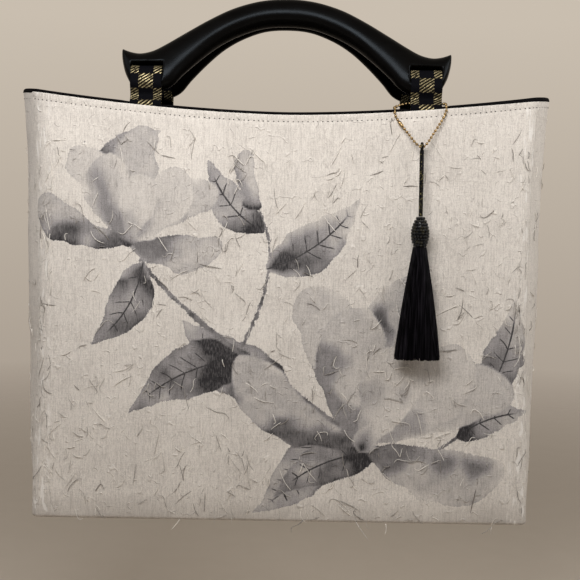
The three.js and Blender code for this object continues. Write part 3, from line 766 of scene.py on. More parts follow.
class Canvas:
    """Ink at points of the front: its tone, the way in from the strokes' edge, and the lines on leaves."""

    def __init__(self, x, z):
        self.x = x
        self.z = z
        self.values = {key: 0 * x for key in ("ink", "vein", "vein_at", "rib", "rib_at")}
        self.values["edge"] = 0 * x - EDGE_REACH

    def cloud(self, size, seed):
        return cloud(self.x, self.z, size, seed)

    def lay(self, inside, ink, vein=0.0, vein_at=0.5, rib=0.0, rib_at=0.0):
        """A stroke over the rest. inside: way in from its edge. Cloth just past it takes the tone too."""
        v = self.values
        cover = np.where(v["edge"] > 0, ease(-0.7, 0.7, inside), inside > -EDGE_REACH)
        for key, new in (("ink", ink), ("vein", vein), ("rib", rib)):
            v[key] = v[key] + (new - v[key]) * cover
        for key, new in (("vein_at", vein_at), ("rib_at", rib_at)):
            v[key] = np.where(cover > 0.5, new, v[key])
        v["edge"] = np.maximum(v["edge"], np.clip(inside, -EDGE_REACH, EDGE_REACH))

    def place_in(self, stroke):
        """Share along a stroke's axis, the same held between its ends, and distance across it."""
        angle = math.radians(stroke.turn)
        right = self.x - stroke.x
        up = self.z - stroke.z
        ahead = (right * math.cos(angle) + up * math.sin(angle)) / stroke.length
        t = np.clip(ahead, 0, 1)
        return ahead, t, up * math.cos(angle) - right * math.sin(angle) - 4 * stroke.bend * t * (1 - t)

    def way_in(self, stroke, half, wave, seed):
        """Way in from the wavy edge of a stroke that is half as wide as given."""
        ahead, _, across = self.place_in(stroke)
        wavy = wave.height * cloud(ahead * stroke.length, np.sign(across) * wave.apart, wave.size, seed)
        edge = half + (wavy + FUZZ * self.cloud(wave.fuzz, seed + 1)) * ease(0, wave.reach, half)
        return np.where((ahead > 0) & (ahead < 1), edge - np.abs(across), -EDGE_REACH)

    def run_out(self, ink, inside, seed):
        """Ink that pools along its edge in places, and runs out pale in others."""
        wet = self.cloud(34, seed)
        pale = 1 - 0.55 * ease(0.15, 0.5, wet) * ease(9, 0, inside)
        pooled = 0.17 * np.exp(-np.maximum(inside, 0) / 0.9) * ease(0.3, -0.1, wet)
        return np.clip(ink * pale + pooled, 0.04, 1)

    def leaf(self, leaf, seed, veined=True):
        """A pointed leaf, dark at its foot, with a rib and slanting veins."""
        _, t, across = self.place_in(leaf)
        half = leaf.width / 2 * np.sin(np.pi * t**0.78) ** 0.95 * (1 - 0.25 * t)
        inside = self.way_in(leaf, half, LEAF_WAVE, seed)
        pooled = 0.28 * self.cloud(17, seed + 2) + 0.14 * self.cloud(6, seed + 3)
        foot = 0.42 * ease(1.0, 0.1, t) + 0.50 * ease(0.40, 0.05, t)
        ink = leaf.tone * (0.58 + foot + pooled) + 0.07 * np.tanh(across / 2)
        swept = t - 0.30 * np.abs(across) / leaf.width
        vein_at = swept * leaf.length / VEIN_PITCH + 0.16 * self.cloud(9, seed + 4)
        vein = ease(0.08, 0.16, t) * ease(0.92, 0.78, t)
        vein = vein * ease(0.85, 0.55, np.abs(across) / np.maximum(half, 1))
        vein = vein * ease(-0.6, -0.2, self.cloud(13, seed + 5)) * veined
        rib = ease(0.93, 0.72, t) * veined
        self.lay(inside, self.run_out(ink, inside, seed + 6), vein, vein_at, rib, across)

    def petal(self, petal, seed):
        """A round petal, with ink run together towards its foot."""
        _, t, across = self.place_in(petal)
        half = 0.64 * petal.width * t**0.62 * (1 - t**3.4) ** 0.55
        inside = self.way_in(petal, half, PETAL_WAVE, seed)
        flow = self.cloud(24, seed + 2) + 0.5 * self.cloud(10, seed + 3)
        pool = ease(-0.45, 0.55, flow + 0.85 - 2.5 * t + 0.7 * across / np.maximum(half, 1))
        ink = petal.tone * (0.52 + 0.90 * pool + 0.12 * self.cloud(5, seed + 4))
        self.lay(inside, self.run_out(ink, inside, seed + 5))

    def branch(self, route, seed):
        """A knotty stem, broken where the brush ran dry."""
        off = 0 * self.x + 1e9
        for k, (x, z, width) in enumerate(through(route, BRANCH_STEPS)):
            knot = 1 + 0.35 * math.exp(-((k % KNOT_EVERY - KNOT_EVERY // 2) / 3.0) ** 2)
            off = np.minimum(off, np.hypot(self.x - x, self.z - z) - width / 2 * knot)
        inside = -off - FUZZ * self.cloud(2.4, seed) - 2 * ease(-0.4, -0.9, self.cloud(8, seed + 1))
        self.lay(inside, 0.80 + 0.16 * self.cloud(5, seed + 2))


def painting(x, z):
    """What the front's cloth needs at its points for the ink."""
    canvas = Canvas(x, z)
    for k, leaf in enumerate(LEAVES[:LEAVES_BEHIND]):
        canvas.leaf(leaf, 100 + 10 * k)
    for k, route in enumerate([BRANCH, *TWIGS]):
        canvas.branch(route, 7 + 10 * k)
    for k, leaf in enumerate(LEAVES[LEAVES_BEHIND:]):
        canvas.leaf(leaf, 200 + 10 * k)
    canvas.petal(BUD, 300)
    canvas.leaf(BUD._replace(length=BUD.length * 0.34, width=BUD.width * 0.8, tone=0.7), 330, False)
    for b, bloom in enumerate(BLOOMS):
        size = bloom.size
        for k, p in enumerate(PETALS):
            petal = Stroke(bloom.x, bloom.z, bloom.turn + p.turn, size * p.length, size * p.width,
                           p.bend * size / 100, p.tone)
            canvas.petal(petal, 400 + 100 * b + 10 * k)
        cup = Stroke(bloom.x, bloom.z - size * 0.05, bloom.turn, size * 0.2, size * 0.16, 0, 0.85)
        canvas.leaf(cup, 480 + 100 * b, False)
    return canvas.values


SEAM = 0.004
corner_columns = np.linspace(1, 2 - SEAM, 13)[1:]


def front_columns(count):
    return np.concatenate([-corner_columns[::-1], np.linspace(-1, 1, count), corner_columns])


front, front_skin = panel(front_columns(310), row_step=1.05, seed=21, swell=0.55)
front_ink = {}
for key, numbers in painting(front[0][:front_skin, 0], front[0][:front_skin, 2]).items():
    front_ink[key] = np.concatenate([numbers, np.full(len(front[0]) - front_skin, -EDGE_REACH)])
piece("front_cloth", front, CLOTH_PAINTED, ["front_panel"], front_ink)
back, _ = panel(front_columns(120), row_step=3.0, seed=31, swell=0.55)
piece("back_cloth", turned_shape(back), CLOTH_PLAIN, ["back_panel"])
side, _ = panel(np.linspace(2 + SEAM, 4 - SEAM, 40), row_step=2.6, seed=41, swell=0.7)
piece("gusset_right_cloth", side, CLOTH_PLAIN, ["gusset_right"])
piece("gusset_left_cloth", turned_shape(side), CLOTH_PLAIN, ["gusset_left"])
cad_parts["base_panel"].data.materials.clear()
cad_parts["base_panel"].data.materials.append(CLOTH_PLAIN)


# Foot of the tabs, and the planes of the handles that lean to the hook
def mouth_y(x):
    """Y of the front's outer face along the mouth."""
    return -MOUTH.half_depth - MOUTH.belly * (1 - (x / (MOUTH.half_width - MOUTH.corner)) ** 2)


FOOT_Z = float(rim_z(TAB_X))
FOOT_Y = mouth_y(TAB_X) + CLOTH + GAP + TAIL / 2
CROWN = HANDLE_ROWS[0]
CROWN_Y = -CROWN.thick / 2 - GAP
LEAN = math.asin((CROWN_Y - FOOT_Y) / ((CROWN.upper_v + CROWN.lower_v) / 2))


def leaning(across, up):
    """A point of the leaning plane as y and z: across it to the rear, and up it from the foot of a tab."""
    y = FOOT_Y + up * math.sin(LEAN) + across * math.cos(LEAN)
    z = FOOT_Z + up * math.cos(LEAN) - across * math.sin(LEAN)
    return np.stack(np.broadcast_arrays(y, z), -1)


# Lining: a thin black sleeve with a floor, which stands off the walls where the tails are sewn in
# Its edge rolls over the cloth's. out: share of the way to the cloth's outer face; lift: above the cloth;
# droop: how much lower that is at one end of each side, where the edge is fuller.
ROLL_ROWS = table("RollRow", "out lift droop", [
    (0.0, 0.3, 0),
    (0.6, 0.25, 0),
    (0.98, 0.3, 1.3),
    (1.08, 0.75, 1.2),
    (0.98, 1.3, 0.5),
    (0.7, 1.75, 0),
    (0.3, 1.95, 0),
    (-0.1, 1.85, 0),
])
POCKET_LOW = 258
POCKET_HIGH = 276
DROOP_FROM = 110
DROOP_TO = 185


def lining():
    half_ring = np.concatenate([np.linspace(-2, -1, 7)[:-1], np.linspace(-1, 1, 150),
                                np.linspace(1, 2, 7)[1:], np.linspace(2, 4, 30)[1:-1]])
    heights = np.concatenate([[0.0, 2.0], np.linspace(6, 250, 20), np.linspace(256, TOP, 12)])
    column, height = np.meshgrid(half_ring, heights)
    walls = outer(column, height)
    at_tab = ease(POCKET_SLOPE, 0, np.abs(np.abs(walls[..., 0]) - TAB_X) - TAB_WIDTH / 2 - POCKET_EASE)
    at_tab = at_tab * (np.abs(column) < 1) * ease(POCKET_LOW, POCKET_HIGH, height)
    pocket = -walls[..., 1] - (-FOOT_Y - TAIL / 2 - 2 * GAP)
    depth = CLOTH + GAP + at_tab * np.maximum(pocket - CLOTH - GAP, 0)
    floor_z = BASE_Z + CLOTH + GAP

    def sleeve(extra, lowest):
        half, _ = skin(column, height, depth + extra)
        half[-1, :, 2] += LINING_EDGE - 0.35 * (extra > 0)
        half[..., 2] = np.maximum(half[..., 2], lowest)
        return np.concatenate([half, turned(half)], 1)

    def rolled(row):
        reach = depth[-1] - row.out * (CLOTH + GAP) * (1 - at_tab[-1])
        half, _ = skin(column[-1], TOP, reach)
        half[..., 2] += row.lift - row.droop * ease(DROOP_FROM, DROOP_TO, half[..., 0])
        return np.concatenate([half, turned(half)])

    edge = np.stack([rolled(row) for row in ROLL_ROWS])
    inside = sleeve(float(LINING), floor_z + LINING)
    rings = np.concatenate([sleeve(0.0, floor_z)[:-1], edge, inside[::-1]])
    ends = [[0, 0, floor_z], [0, 0, floor_z + LINING]]
    return np.vstack([rings.reshape(-1, 3), ends]), fan_faces(*rings.shape[:2])


piece("lining_cloth", lining(), black_cloth(), ["lining"])


# Stitches round the mouth
STITCH_RADII = np.array([0.14, 0.30, 0.34, 0.30, 0.14])
MOUTH_STEPS = 4000


def stitches():
    """Short sunken stitches along the front and round one side, which the other half repeats."""
    near = np.linspace(-1.97, 3.97, MOUTH_STEPS)
    run = run_along(outer(near, TOP - STITCH_DEPTH))
    rng = np.random.default_rng(71)
    middles = np.arange(1.5, run[-1] - 1, STITCH_PITCH)
    middles = middles + rng.uniform(-0.35, 0.35, len(middles))
    steps = np.linspace(-STITCH_HALF, STITCH_HALF, STITCH_RADII.size)
    columns = np.interp(middles[:, None] + steps, run, near)
    depth = 0.3 - 0.18 * np.cos(np.pi * steps / (2 * STITCH_HALF)) + rng.uniform(0, 0.16, (len(middles), 1))
    paths, _ = skin(columns, TOP - STITCH_DEPTH, depth)
    shape = tubes(paths, STITCH_RADII, sides=6, guide=(0, 0, 1))
    return joined(shape, turned_shape(shape))


piece("mouth_stitches", stitches(), SILK)

# Cut weft ends standing on the cloth
THREAD_STEPS = 11
THREAD_SIDES = 5
THREAD_LENGTH = (5, 14)
THREAD_RADIUS = (0.16, 0.28)
# Thread tones: partly real taupe threads, partly painted shadow of the threads on the cloth
THREAD_TONES_AND_SHADOWS = [0.02, 0.15, 0.5, 0.8]
HEM = 4
GUSSET_HALF = 46
GUSSET_TOP_Z = -53


def cut_ends(row):
    """Loose threads on a surface as a shape, and the tone of each point, partly painted shadow. Some start
    in pairs.
    """
    rng = np.random.default_rng(row.seed)
    each = (row.count, 1)
    across = rng.uniform(*row.across, each)
    up = rng.uniform(*row.up, each)
    for start in (across, up):
        start[1::4] = start[::4][:len(start[1::4])]
    length = rng.uniform(*THREAD_LENGTH, each) * rng.choice([0.7, 1, 1.4], each)
    heading = rng.normal(math.pi / 2, row.spread, each) + math.pi * rng.integers(0, 2, each)
    bend = rng.normal(0, 0.6, each)
    hook = rng.choice([0, 0, 0, 1.5, -1.5], each)
    share = np.linspace(0, 1, THREAD_STEPS)
    angle = heading + bend * share + hook * ease(0.6, 1.0, share)
    stride = length / (THREAD_STEPS - 1)
    path_across = across + np.cumsum(np.cos(angle) * stride, 1)
    path_up = up + np.cumsum(np.sin(angle) * stride, 1)
    arch = np.sin(np.pi * np.minimum(share * 1.25, 1)) ** 1.2
    lift = 0.12 + rng.uniform(0.2, 1.0, each) * arch
    lift = lift + rng.choice([0, 0, 0.9], each) * ease(0.6, 1, share)
    base, outward = row.spot(path_across, path_up)
    radius = rng.uniform(*THREAD_RADIUS, each) * (1 - 0.5 * ease(0.75, 1, share))
    shape = tubes(base + lift[..., None] * outward, radius, THREAD_SIDES, outward)
    # Darker tones stand partly for real taupe threads and partly for painted shadow under them
    thread_tone_and_shadow = np.clip(rng.choice(THREAD_TONES_AND_SHADOWS, each) + rng.normal(0, 0.06, each), 0, 1)
    return shape, np.repeat(thread_tone_and_shadow, THREAD_STEPS * THREAD_SIDES)


def front_spot(x, z):
    """Points of the front and outward directions. Below the hem they hang on downward."""
    column, height = front_at(x, np.clip(z, BASE_Z + HEM, None))
    points, outward = skin(column, np.clip(height, 1, TOP - 1))
    points[..., 2] += np.minimum(z - BASE_Z - HEM, 0)
    return points, outward


def gusset_spot(y, z):
    height = (z - BASE_Z) / (GUSSET_TOP_Z - BASE_Z) * TOP
    return skin(2 + 2 * ease(-GUSSET_HALF, GUSSET_HALF, y), np.clip(height, 4, TOP - 8))


THREADS = table("Threads", "name count seed spot across up spread back", [
    ("front_threads", 560, 51, front_spot, (-166, 166), (-362, -80), 0.75, False),
    ("front_left_threads", 90, 55, front_spot, (-180, -164), (-350, -90), 0.3, False),
    ("front_right_threads", 70, 56, front_spot, (164, 180), (-350, -90), 0.3, False),
    ("hem_threads", 9, 57, front_spot, (-172, 172), (-361, -356), 0.6, False),
    ("back_threads", 420, 52, front_spot, (-166, 166), (-356, -80), 0.75, True),
    ("gusset_right_threads", 70, 53, gusset_spot, (-36, 36), (-350, -72), 0.75, False),
    ("gusset_left_threads", 70, 54, gusset_spot, (-36, 36), (-350, -72), 0.75, True),
])
for row in THREADS:
    shape, thread_tone_and_shadow = cut_ends(row)
    if row.back:
        shape = turned_shape(shape)
    piece(row.name, shape, CUT_THREAD, values={"thread_tone_and_shadow": thread_tone_and_shadow})

# Handles
HANDLE_SIDES = 48
HANDLE_STEPS = 240
HANDLE_VOXEL = 0.65
CHANNEL_HALF = 24
CHANNEL_LOW = -8
CHANNEL_RADIUS = 3
CORNER_POINTS = 5


def handle_form():
    """The handle before its ends are cut: rounded sections along the arch, from horn to horn."""
    mirrored = [row._replace(upper_x=-row.upper_x, lower_x=-row.lower_x) for row in HANDLE_ROWS[1:]]
    rows = np.array([*mirrored[::-1], *HANDLE_ROWS], float)
    steps = np.linspace(0, len(rows) - 1, HANDLE_STEPS)
    sizes = [along_table(steps, np.arange(len(rows)), column)[:, None] for column in rows.T]
    upper_x, upper_v, lower_x, lower_v, thick = sizes
    angle = turns(HANDLE_SIDES) + np.pi / HANDLE_SIDES
    rise, wide = [np.sign(s) * np.abs(s) ** (2 / SECTION_POWER) for s in (np.sin(angle), np.cos(angle))]
    x = (upper_x + lower_x) / 2 + (upper_x - lower_x) / 2 * rise
    v = (upper_v + lower_v) / 2 + (upper_v - lower_v) / 2 * rise
    rings = np.stack([x, thick / 2 * wide, v], -1)
    return rings.reshape(-1, 3), tube_faces(HANDLE_STEPS, HANDLE_SIDES)


def rounded_box(half, low, high, radius):
    """Points round a box with round corners, in a plane of across and up."""
    points = []
    low_up = low + radius
    high_up = high - radius
    for side, up, start in ((1, low_up, -90), (1, high_up, 0), (-1, high_up, 90), (-1, low_up, 180)):
        for angle in np.radians(np.linspace(start, start + 90, CORNER_POINTS)):
            across = side * (half - radius) + radius * math.cos(angle)
            points.append((across, up + radius * math.sin(angle)))
    return np.array(points)


def strap_channel(x):
    """What is cut away round the bar at one end of a handle, for the strap."""
    opening = rounded_box(CHANNEL_HALF, CHANNEL_LOW, SLOT_TOP, CHANNEL_RADIUS)
    bar = rounded_box(BAR_THICK / 2, BAR_BOTTOM, BAR_TOP, BAR_RADIUS)
    half = TAB_WIDTH / 2 + SLOT_SIDE_GAP
    loops = [(opening, x - half), (opening, x + half), (bar, x + half), (bar, x - half)]
    points = np.concatenate([np.column_stack([np.full(len(ring), at), ring]) for ring, at in loops])
    return points, [grid_faces(len(loops) + 1, len(bar), closed=True) % len(points)]


def handle_mesh():
    """The front handle, cut for its straps, with soft edges and leaning to the hook."""
    channels = joined(strap_channel(-TAB_X), strap_channel(TAB_X))
    body = linked("handle_blank", raw_mesh("handle_blank", *handle_form()))
    cutter = linked("handle_cutter", raw_mesh("handle_cutter", *channels))
    for kind, settings in [
        ("BOOLEAN", {"operation": "DIFFERENCE", "solver": "EXACT", "object": cutter}),
        ("REMESH", {"mode": "VOXEL", "voxel_size": HANDLE_VOXEL * MM}),
        ("SMOOTH", {"factor": 0.5, "iterations": 8}),
    ]:
        modifier = body.modifiers.new(kind.lower(), kind)
        for key, value in settings.items():
            setattr(modifier, key, value)
    graph = bpy.context.evaluated_depsgraph_get()
    mesh = bpy.data.meshes.new_from_object(body.evaluated_get(graph))
    bpy.data.objects.remove(body)
    bpy.data.objects.remove(cutter)
    mesh.transform(Matrix.Translation((0, FOOT_Y * MM, FOOT_Z * MM)) @ Matrix.Rotation(-LEAN, 4, "X"))
    mesh.shade_smooth()
    return mesh


front_wood = handle_mesh()
back_wood = front_wood.copy()
back_wood.transform(Matrix.Rotation(math.pi, 4, "Z"))
place("handle_front_wood", front_wood, WOOD, ["handle_front"])
place("handle_back_wood", back_wood, WOOD, ["handle_back"])

# Tabs: a strap that goes up from the seam, over the bar of the handle and back down
CHECK = 10.4
CHECK_EDGE = 21.4
BACK_CHECK_SHIFT = 0.5
CHECK_START = 100
STRAP_EDGE = 0.6
STRAP_STEPS = 130
STRAP_COLUMNS = 15


def strap_line():
    """Middle of the strap as y and z, from the tail's front layer over the bar to its rear layer."""
    off = GAP + STRAP / 2
    around = rounded_box(BAR_THICK / 2 + off, BAR_BOTTOM - off, BAR_TOP + off, BAR_RADIUS + off)
    above = around[around[:, 1] > BAR_BOTTOM][::-1]
    layer = TAIL / 4
    tail = [FOOT_Z - TAIL_DEPTH, FOOT_Z - TAIL_DEPTH / 2, FOOT_Z, FOOT_Z + TAIL_TOP]
    front_tail = [*[(FOOT_Y - layer, z) for z in tail], leaning(-layer, PINCH)]
    rear_tail = [leaning(layer, PINCH), *[(FOOT_Y + layer, z) for z in tail[::-1]]]
    return through([*front_tail, *leaning(above[:, 0], above[:, 1]), *rear_tail], STRAP_STEPS)


def strap(middle_x, check_shift):
    """A tab as a shape, and the place of its points in the checks."""
    line = strap_line()
    tangent = unit(np.gradient(line, axis=0))
    outward = np.stack([-tangent[:, 1], tangent[:, 0]], 1)
    flat = TAIL / 2 + (STRAP - TAIL / 2) * ease(FOOT_Z, FOOT_Z + 8, line[:, 1])
    half = TAB_WIDTH / 2 - STRAP_EDGE
    across = np.linspace(-half, half, STRAP_COLUMNS)
    face = np.full(STRAP_COLUMNS, 0.5)
    bend = np.radians([60, 0, -60])
    edge_u = half + STRAP_EDGE * np.cos(bend)
    edge_off = 0.5 * np.sin(bend)
    u = np.concatenate([across, edge_u, across[::-1], -edge_u])
    off = np.concatenate([face, edge_off, -face, -edge_off])
    yz = line[:, None] + (flat[:, None] * off)[..., None] * outward[:, None]
    points = np.concatenate([np.broadcast_to(middle_x + u, yz.shape[:2])[..., None], yz], -1)
    at_edge = leaning(-BAR_THICK / 2 - GAP - STRAP / 2, CHECK_EDGE)
    nearest = np.argmin(np.linalg.norm(line[:STRAP_STEPS // 2] - at_edge, axis=1))
    run = run_along(line)
    along = (run - run[nearest]) / CHECK - check_shift + CHECK_START
    uv = np.stack(np.broadcast_arrays(u[None] / CHECK + CHECK_START + 0.5, along[:, None]), -1)
    return (points.reshape(-1, 3), flipped(tube_faces(*points.shape[:2]))), uv.reshape(-1, 2)


BROCADE = brocade()
for hand, x in (("left", -TAB_X), ("right", TAB_X)):
    shape, uv = strap(x, 0)
    piece(f"tab_front_{hand}_brocade", shape, BROCADE, [f"tab_front_{hand}"], uv=uv)
for hand, x in (("left", -TAB_X), ("right", TAB_X)):
    shape, uv = strap(-x, BACK_CHECK_SHIFT)
    piece(f"tab_back_{hand}_brocade", turned_shape(shape), BROCADE, [f"tab_back_{hand}"], uv=uv)

# Charm: a ball chain round the front right tab, with a tassel on a cord
CHAIN_POINTS = 2000
CHAIN_GUIDE = (0.3, 1, 0.2)
WIRE_RADIUS = 0.32
WIRE_STEP = 16
EYE_GAP = 0.06
SLEEVE_RADII = np.array([[0.7, 1.15, 1.3, 1.3, 1.22, 1.3, 1.3, 1.15, 0.7]])


def chain_route():
    """Points that the chain's loop goes through: down the front, over the rim and behind the tab."""
    def over(x):
        return [
            (x, mouth_y(x) - CHAIN_EASE, rim_z(x) - 2),
            (x, mouth_y(x) - 0.4, rim_z(x) + CHAIN_EASE + 0.4),
            (x, mouth_y(x) + CLOTH + LINING, rim_z(x) + LINING_EDGE + CHAIN_EASE + 0.2),
        ]

    behind_y, behind_z = leaning(TAIL / 2, CHAIN_BEHIND) + [CHAIN_EASE + 1, 1]
    left = over(CHAIN_LEFT_X)
    right = over(CHAIN_RIGHT_X)
    left_middle = (CHAIN_LOW + left[0]) / 2 + [-1, -0.2, -1]
    right_middle = (CHAIN_LOW + right[0]) / 2 + [1, -0.2, -1]
    behind = [(TAB_X + x, behind_y, behind_z) for x in (-TAB_WIDTH / 2 - 1, 0, TAB_WIDTH / 2)]
    return [CHAIN_LOW, left_middle, *left, *behind, *right[::-1], right_middle]


def chain():
    """Balls along the loop on a wire, and the sleeve that joins its ends."""
    dense = through(chain_route(), CHAIN_POINTS, closed=True)
    balls = round(run_along(np.vstack([dense, dense[:1]]))[-1] / BALL_PITCH)
    k = np.arange(balls)
    at = ((k + 0.5) / balls * CHAIN_POINTS).astype(int)
    centres = dense[at[(k < CONNECTOR_FIRST) | (k > CONNECTOR_LAST)]]
    bases = np.broadcast_to(np.eye(3) * BALL_RADIUS, (len(centres), 3, 3))
    wire_line = dense[::WIRE_STEP]
    wire = tubes(np.vstack([wire_line, wire_line[:1]])[None], WIRE_RADIUS, sides=6, guide=CHAIN_GUIDE)
    first = round(CONNECTOR_FIRST / balls * CHAIN_POINTS)
    last = round((CONNECTOR_LAST + 1) / balls * CHAIN_POINTS)
    sleeve_line = dense[np.linspace(first, last, SLEEVE_RADII.size).astype(int)]
    sleeve = tubes(sleeve_line[None], SLEEVE_RADII, sides=14, guide=CHAIN_GUIDE)
    return joined(copies(ball(rings=9, sides=14), bases, centres), wire, sleeve)


piece("charm_chain_links", chain(), gold_metal(), ["charm_chain"])


def plaited(path, radius, sides, plies):
    """A closed tube whose surface shows plies wound both ways, so many times each."""
    points, faces = tubes(path[None], radius, sides, guide=(1, 0, 0))
    steps = len(path)
    wound = 2 * np.pi * plies * np.arange(steps)[:, None] / (steps - 1)
    around = 3 * turns(sides)[None]
    relief = 1 + 0.11 * (np.cos(around + wound) * np.cos(around - wound))[..., None]
    middle = path[:, None]
    return (middle + (points.reshape(steps, sides, 3) - middle) * relief).reshape(-1, 3), faces


cord_foot = np.array([CHAIN_LOW[0], HEAD_Y, HEAD_TOP_Z + GAP])
cord_top = np.array([CHAIN_LOW[0], CHAIN_LOW[1], CORD_TOP_Z])
cord_shape = plaited(np.linspace(cord_top, cord_foot, 180), CORD_RADIUS, sides=24, plies=13)
cord = piece("tassel_cord_plait", cord_shape, SILK_GLINTED, ["tassel_cord"])
eye_angle = np.linspace(EYE_GAP, 2 * np.pi - EYE_GAP, 80)
eye_line = CHAIN_LOW + EYE_RADIUS * np.stack([0 * eye_angle, -np.sin(eye_angle), -np.cos(eye_angle)], 1)
eye_shape = plaited(eye_line, EYE_CORD_RADIUS, sides=16, plies=6)
piece("tassel_cord_eye", eye_shape, SILK_GLINTED, ["tassel_cord"])

BEAD = 0.98
BEAD_AXES = BEAD * np.array([[0.98], [1.08], [0.8]])
BEAD_SINK = BEAD * 0.75
CORE_SINK = BEAD * 0.9
BEAD_ROWS = 10
HEAD_BOTTOM_Z = HEAD_TOP_Z - HEAD_LENGTH


def head_radius(share):
    return HEAD_RADIUS * np.sin(np.pi * (0.2 + 0.7 * share)) ** 0.75


def bead_head():
    """Rows of seed beads on an egg-shaped core."""
    foot = np.array([CHAIN_LOW[0], HEAD_Y, HEAD_BOTTOM_Z])
    centres = []
    bases = []
    for row in range(BEAD_ROWS):
        share = (row + 0.5) / BEAD_ROWS
        radius = float(head_radius(share)) - BEAD_SINK
        count = max(5, int(math.pi * radius / BEAD_AXES[0, 0]))
        turn = 2 * np.pi * (np.arange(count) + 0.5 * (row % 2)) / count
        way = circle(turn)
        upright = np.broadcast_to([0, 0, 1.0], way.shape)
        centres.append(foot + [0, 0, share * HEAD_LENGTH] + radius * way)
        bases.append(BEAD_AXES * np.stack([circle(turn + np.pi / 2), upright, -way], 1))
    beads = copies(ball(rings=7, sides=9), np.concatenate(bases), np.concatenate(centres))
    shares = np.linspace(0, 1, 14)
    core_line = foot + shares[:, None] * [0, 0, HEAD_LENGTH]
    core = tubes(core_line[None], head_radius(shares)[None] - CORE_SINK, sides=20, guide=(1, 0, 0))
    return joined(beads, core)


head = piece("tassel_head_beads", bead_head(), bead_glass(), ["tassel_head"])

SKIRT_STEPS = 12
STRANDS = 760
OUTER_STRANDS = 560
STRAND_RADIUS = 0.36
STRAND_SWAY = 0.035
STRAND_RIPPLE = 0.02
STRAY_EVERY = 151
HEART_SIDES = 28
HEART_SHARE = 0.9
HEART_LENGTH = 0.95 * SKIRT_LENGTH


def tassel_skirt():
    """Hundreds of hanging threads round a dark heart."""
    rng = np.random.default_rng(61)
    steps = np.linspace(0, 1, SKIRT_STEPS)
    shares, *columns = zip(*SKIRT_ROWS)
    half_x, half_y, middle_y = [along_table(steps, shares, column) for column in columns]
    top_z = HEAD_BOTTOM_Z - GAP
    number = np.arange(STRANDS)
    each = (STRANDS, 1)
    turn = rng.uniform(0, 2 * np.pi, STRANDS)
    near_edge = rng.uniform(0.90, 0.985, STRANDS)
    anywhere = np.sqrt(rng.uniform(0, 0.8, STRANDS))
    reach = np.where(number < OUTER_STRANDS, near_edge, anywhere)[:, None]
    sway = STRAND_SWAY * rng.normal(0, 1, each) * steps
    drop = SKIRT_LENGTH * (1 - np.abs(rng.normal(0, 0.02, each)))
    waves = rng.uniform(0.6, 1.6, each) * steps + rng.uniform(0, 1, each)
    swing = turn[:, None] + sway + STRAND_RIPPLE * np.sin(2 * np.pi * waves)
    stray = (number % STRAY_EVERY == 7)[:, None] * rng.uniform(1, 3.5, each) * ease(0.6, 1, steps)
    x = CHAIN_LOW[0] + half_x * reach * np.cos(swing) + stray
    y = middle_y + half_y * reach * np.sin(swing)
    hanging = np.stack([x, y, top_z - drop * steps], -1)
    strands = tubes(hanging, STRAND_RADIUS, sides=4, guide=(0.2, 1, 0.1))
    around = turns(HEART_SIDES)
    heart = np.stack([
        CHAIN_LOW[0] + HEART_SHARE * half_x[:, None] * np.cos(around),
        middle_y[:, None] + HEART_SHARE * half_y[:, None] * np.sin(around),
        np.repeat((top_z - HEART_LENGTH * steps)[:, None], HEART_SIDES, 1),
    ], -1)
    return joined(strands, (heart.reshape(-1, 3), flipped(tube_faces(SKIRT_STEPS, HEART_SIDES))))


piece("tassel_skirt_threads", tassel_skirt(), SILK, ["tassel_skirt"])

# Stage
FLOOR_DROP = 150
FLOOR_RADIUS = 60000
FLOOR_SIDES = 64
FADE_FROM = 0.5
FADE_TO = 1.7
BACKDROP_LOW = (0.29, 0.24, 0.197, 1)
BACKDROP_HIGH = (0.585, 0.515, 0.43, 1)
STUDIO_FRONT = (0.068, 0.064, 0.06, 1)
WARM = (1.0, 0.98, 0.96)
FAINT_WARM = (1.0, 0.985, 0.965)
COOL = (0.93, 0.95, 1.0)
LAMPS = table("Lamp", "name at aim size power colour spread_deg glints", [
    ("key_light", (-0.09, -0.45, 0.19), (-0.04, -0.05, -0.12), (0.34, 0.20), 2.8, WARM, 180, True),
    ("left_light", (-0.60, -0.24, 0.28), (-0.18, 0.0, -0.08), (0.4, 0.4), 0.65, COOL, 180, True),
    ("back_light", (0.25, 0.95, -0.15), (0.0, 0.05, -0.10), (0.6, 0.3), 0.5, WARM, 60, False),
    ("right_light", (0.56, -0.22, 0.16), (0.18, 0.0, -0.12), (0.4, 0.4), 2.0, FAINT_WARM, 180, True),
])


def pale_floor():
    """A pale floor that fades into the backdrop."""
    f = Finish("pale_floor")
    level = f.add("Mapping", {"Vector": f.here, "Scale": (1, 1, 0)})
    away = f.add("VectorMath", {0: level}, "Value", operation="LENGTH")
    return f.set(base_color=f.mix(f.noise(40.0, 3.0), (0.60, 0.54, 0.47, 1), (0.63, 0.57, 0.50, 1)),
                 roughness=0.9, specular_ior_level=0.1, alpha=away.range(FADE_FROM, FADE_TO, 1.0, 0.0))


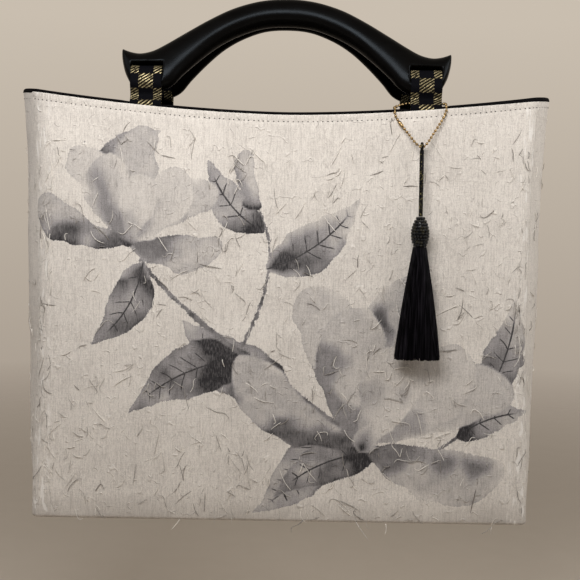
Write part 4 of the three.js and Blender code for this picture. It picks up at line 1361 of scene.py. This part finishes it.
floor_ring = circle(turns(FLOOR_SIDES)) * FLOOR_RADIUS + [0, 0, BASE_Z - FLOOR_DROP]
floor_mesh = raw_mesh("floor", floor_ring, [[range(FLOOR_SIDES)]])
floor_mesh.materials.append(pale_floor())
floor = linked("floor", floor_mesh)

for row in LAMPS:
    lamp = bpy.data.lights.new(row.name, "AREA")
    lamp.shape = "RECTANGLE"
    lamp.size, lamp.size_y = row.size
    lamp.energy = row.power
    lamp.color = row.colour
    lamp.spread = math.radians(row.spread_deg)
    holder = linked(row.name, lamp)
    holder.visible_camera = False
    holder.visible_glossy = row.glints
    holder.location = row.at
    holder.rotation_euler = (Vector(row.aim) - Vector(row.at)).to_track_quat("-Z", "Y").to_euler()

# The studio is pale behind the bag, darker towards the floor, and dim in front
world = bpy.data.worlds.new("studio")
bpy.context.scene.world = world
world.use_nodes = True
sky = Nodes(world.node_tree)
way = sky.add("TexCoord", {}, "Generated")
behind = sky.add("SeparateXYZ", {0: way}, "Y").range(-0.5, 0.9, interpolation_type="SMOOTHSTEP")
raised = sky.add("SeparateXYZ", {0: way}, "Z").range(-0.36, 0.14)
backdrop = sky.mix(raised, BACKDROP_LOW, BACKDROP_HIGH)
sky.feed(sky.tree.nodes["Background"].inputs["Color"], sky.mix(behind, STUDIO_FRONT, backdrop))
bpy.context.scene.view_settings.view_transform = "Standard"

# Camera
CAMERA_AT = (0.0052, -0.8465, -0.1152)
CAMERA_PITCH = math.atan2(75.5, 800)
CAMERA_ROLL = math.radians(1.0)
FOCAL_PIXELS = 1120
PICTURE_PIXELS = 580
SENSOR = 36
camera_data = bpy.data.cameras.new("camera")
camera_data.sensor_width = SENSOR
camera_data.lens = SENSOR * FOCAL_PIXELS / PICTURE_PIXELS
camera = linked("camera", camera_data)
facing = Matrix.Rotation(math.pi / 2 - CAMERA_PITCH, 4, "X") @ Matrix.Rotation(CAMERA_ROLL, 4, "Z")
camera.matrix_world = Matrix.Translation(CAMERA_AT) @ facing
bpy.context.scene.camera = camera

bpy.context.view_layer.update()
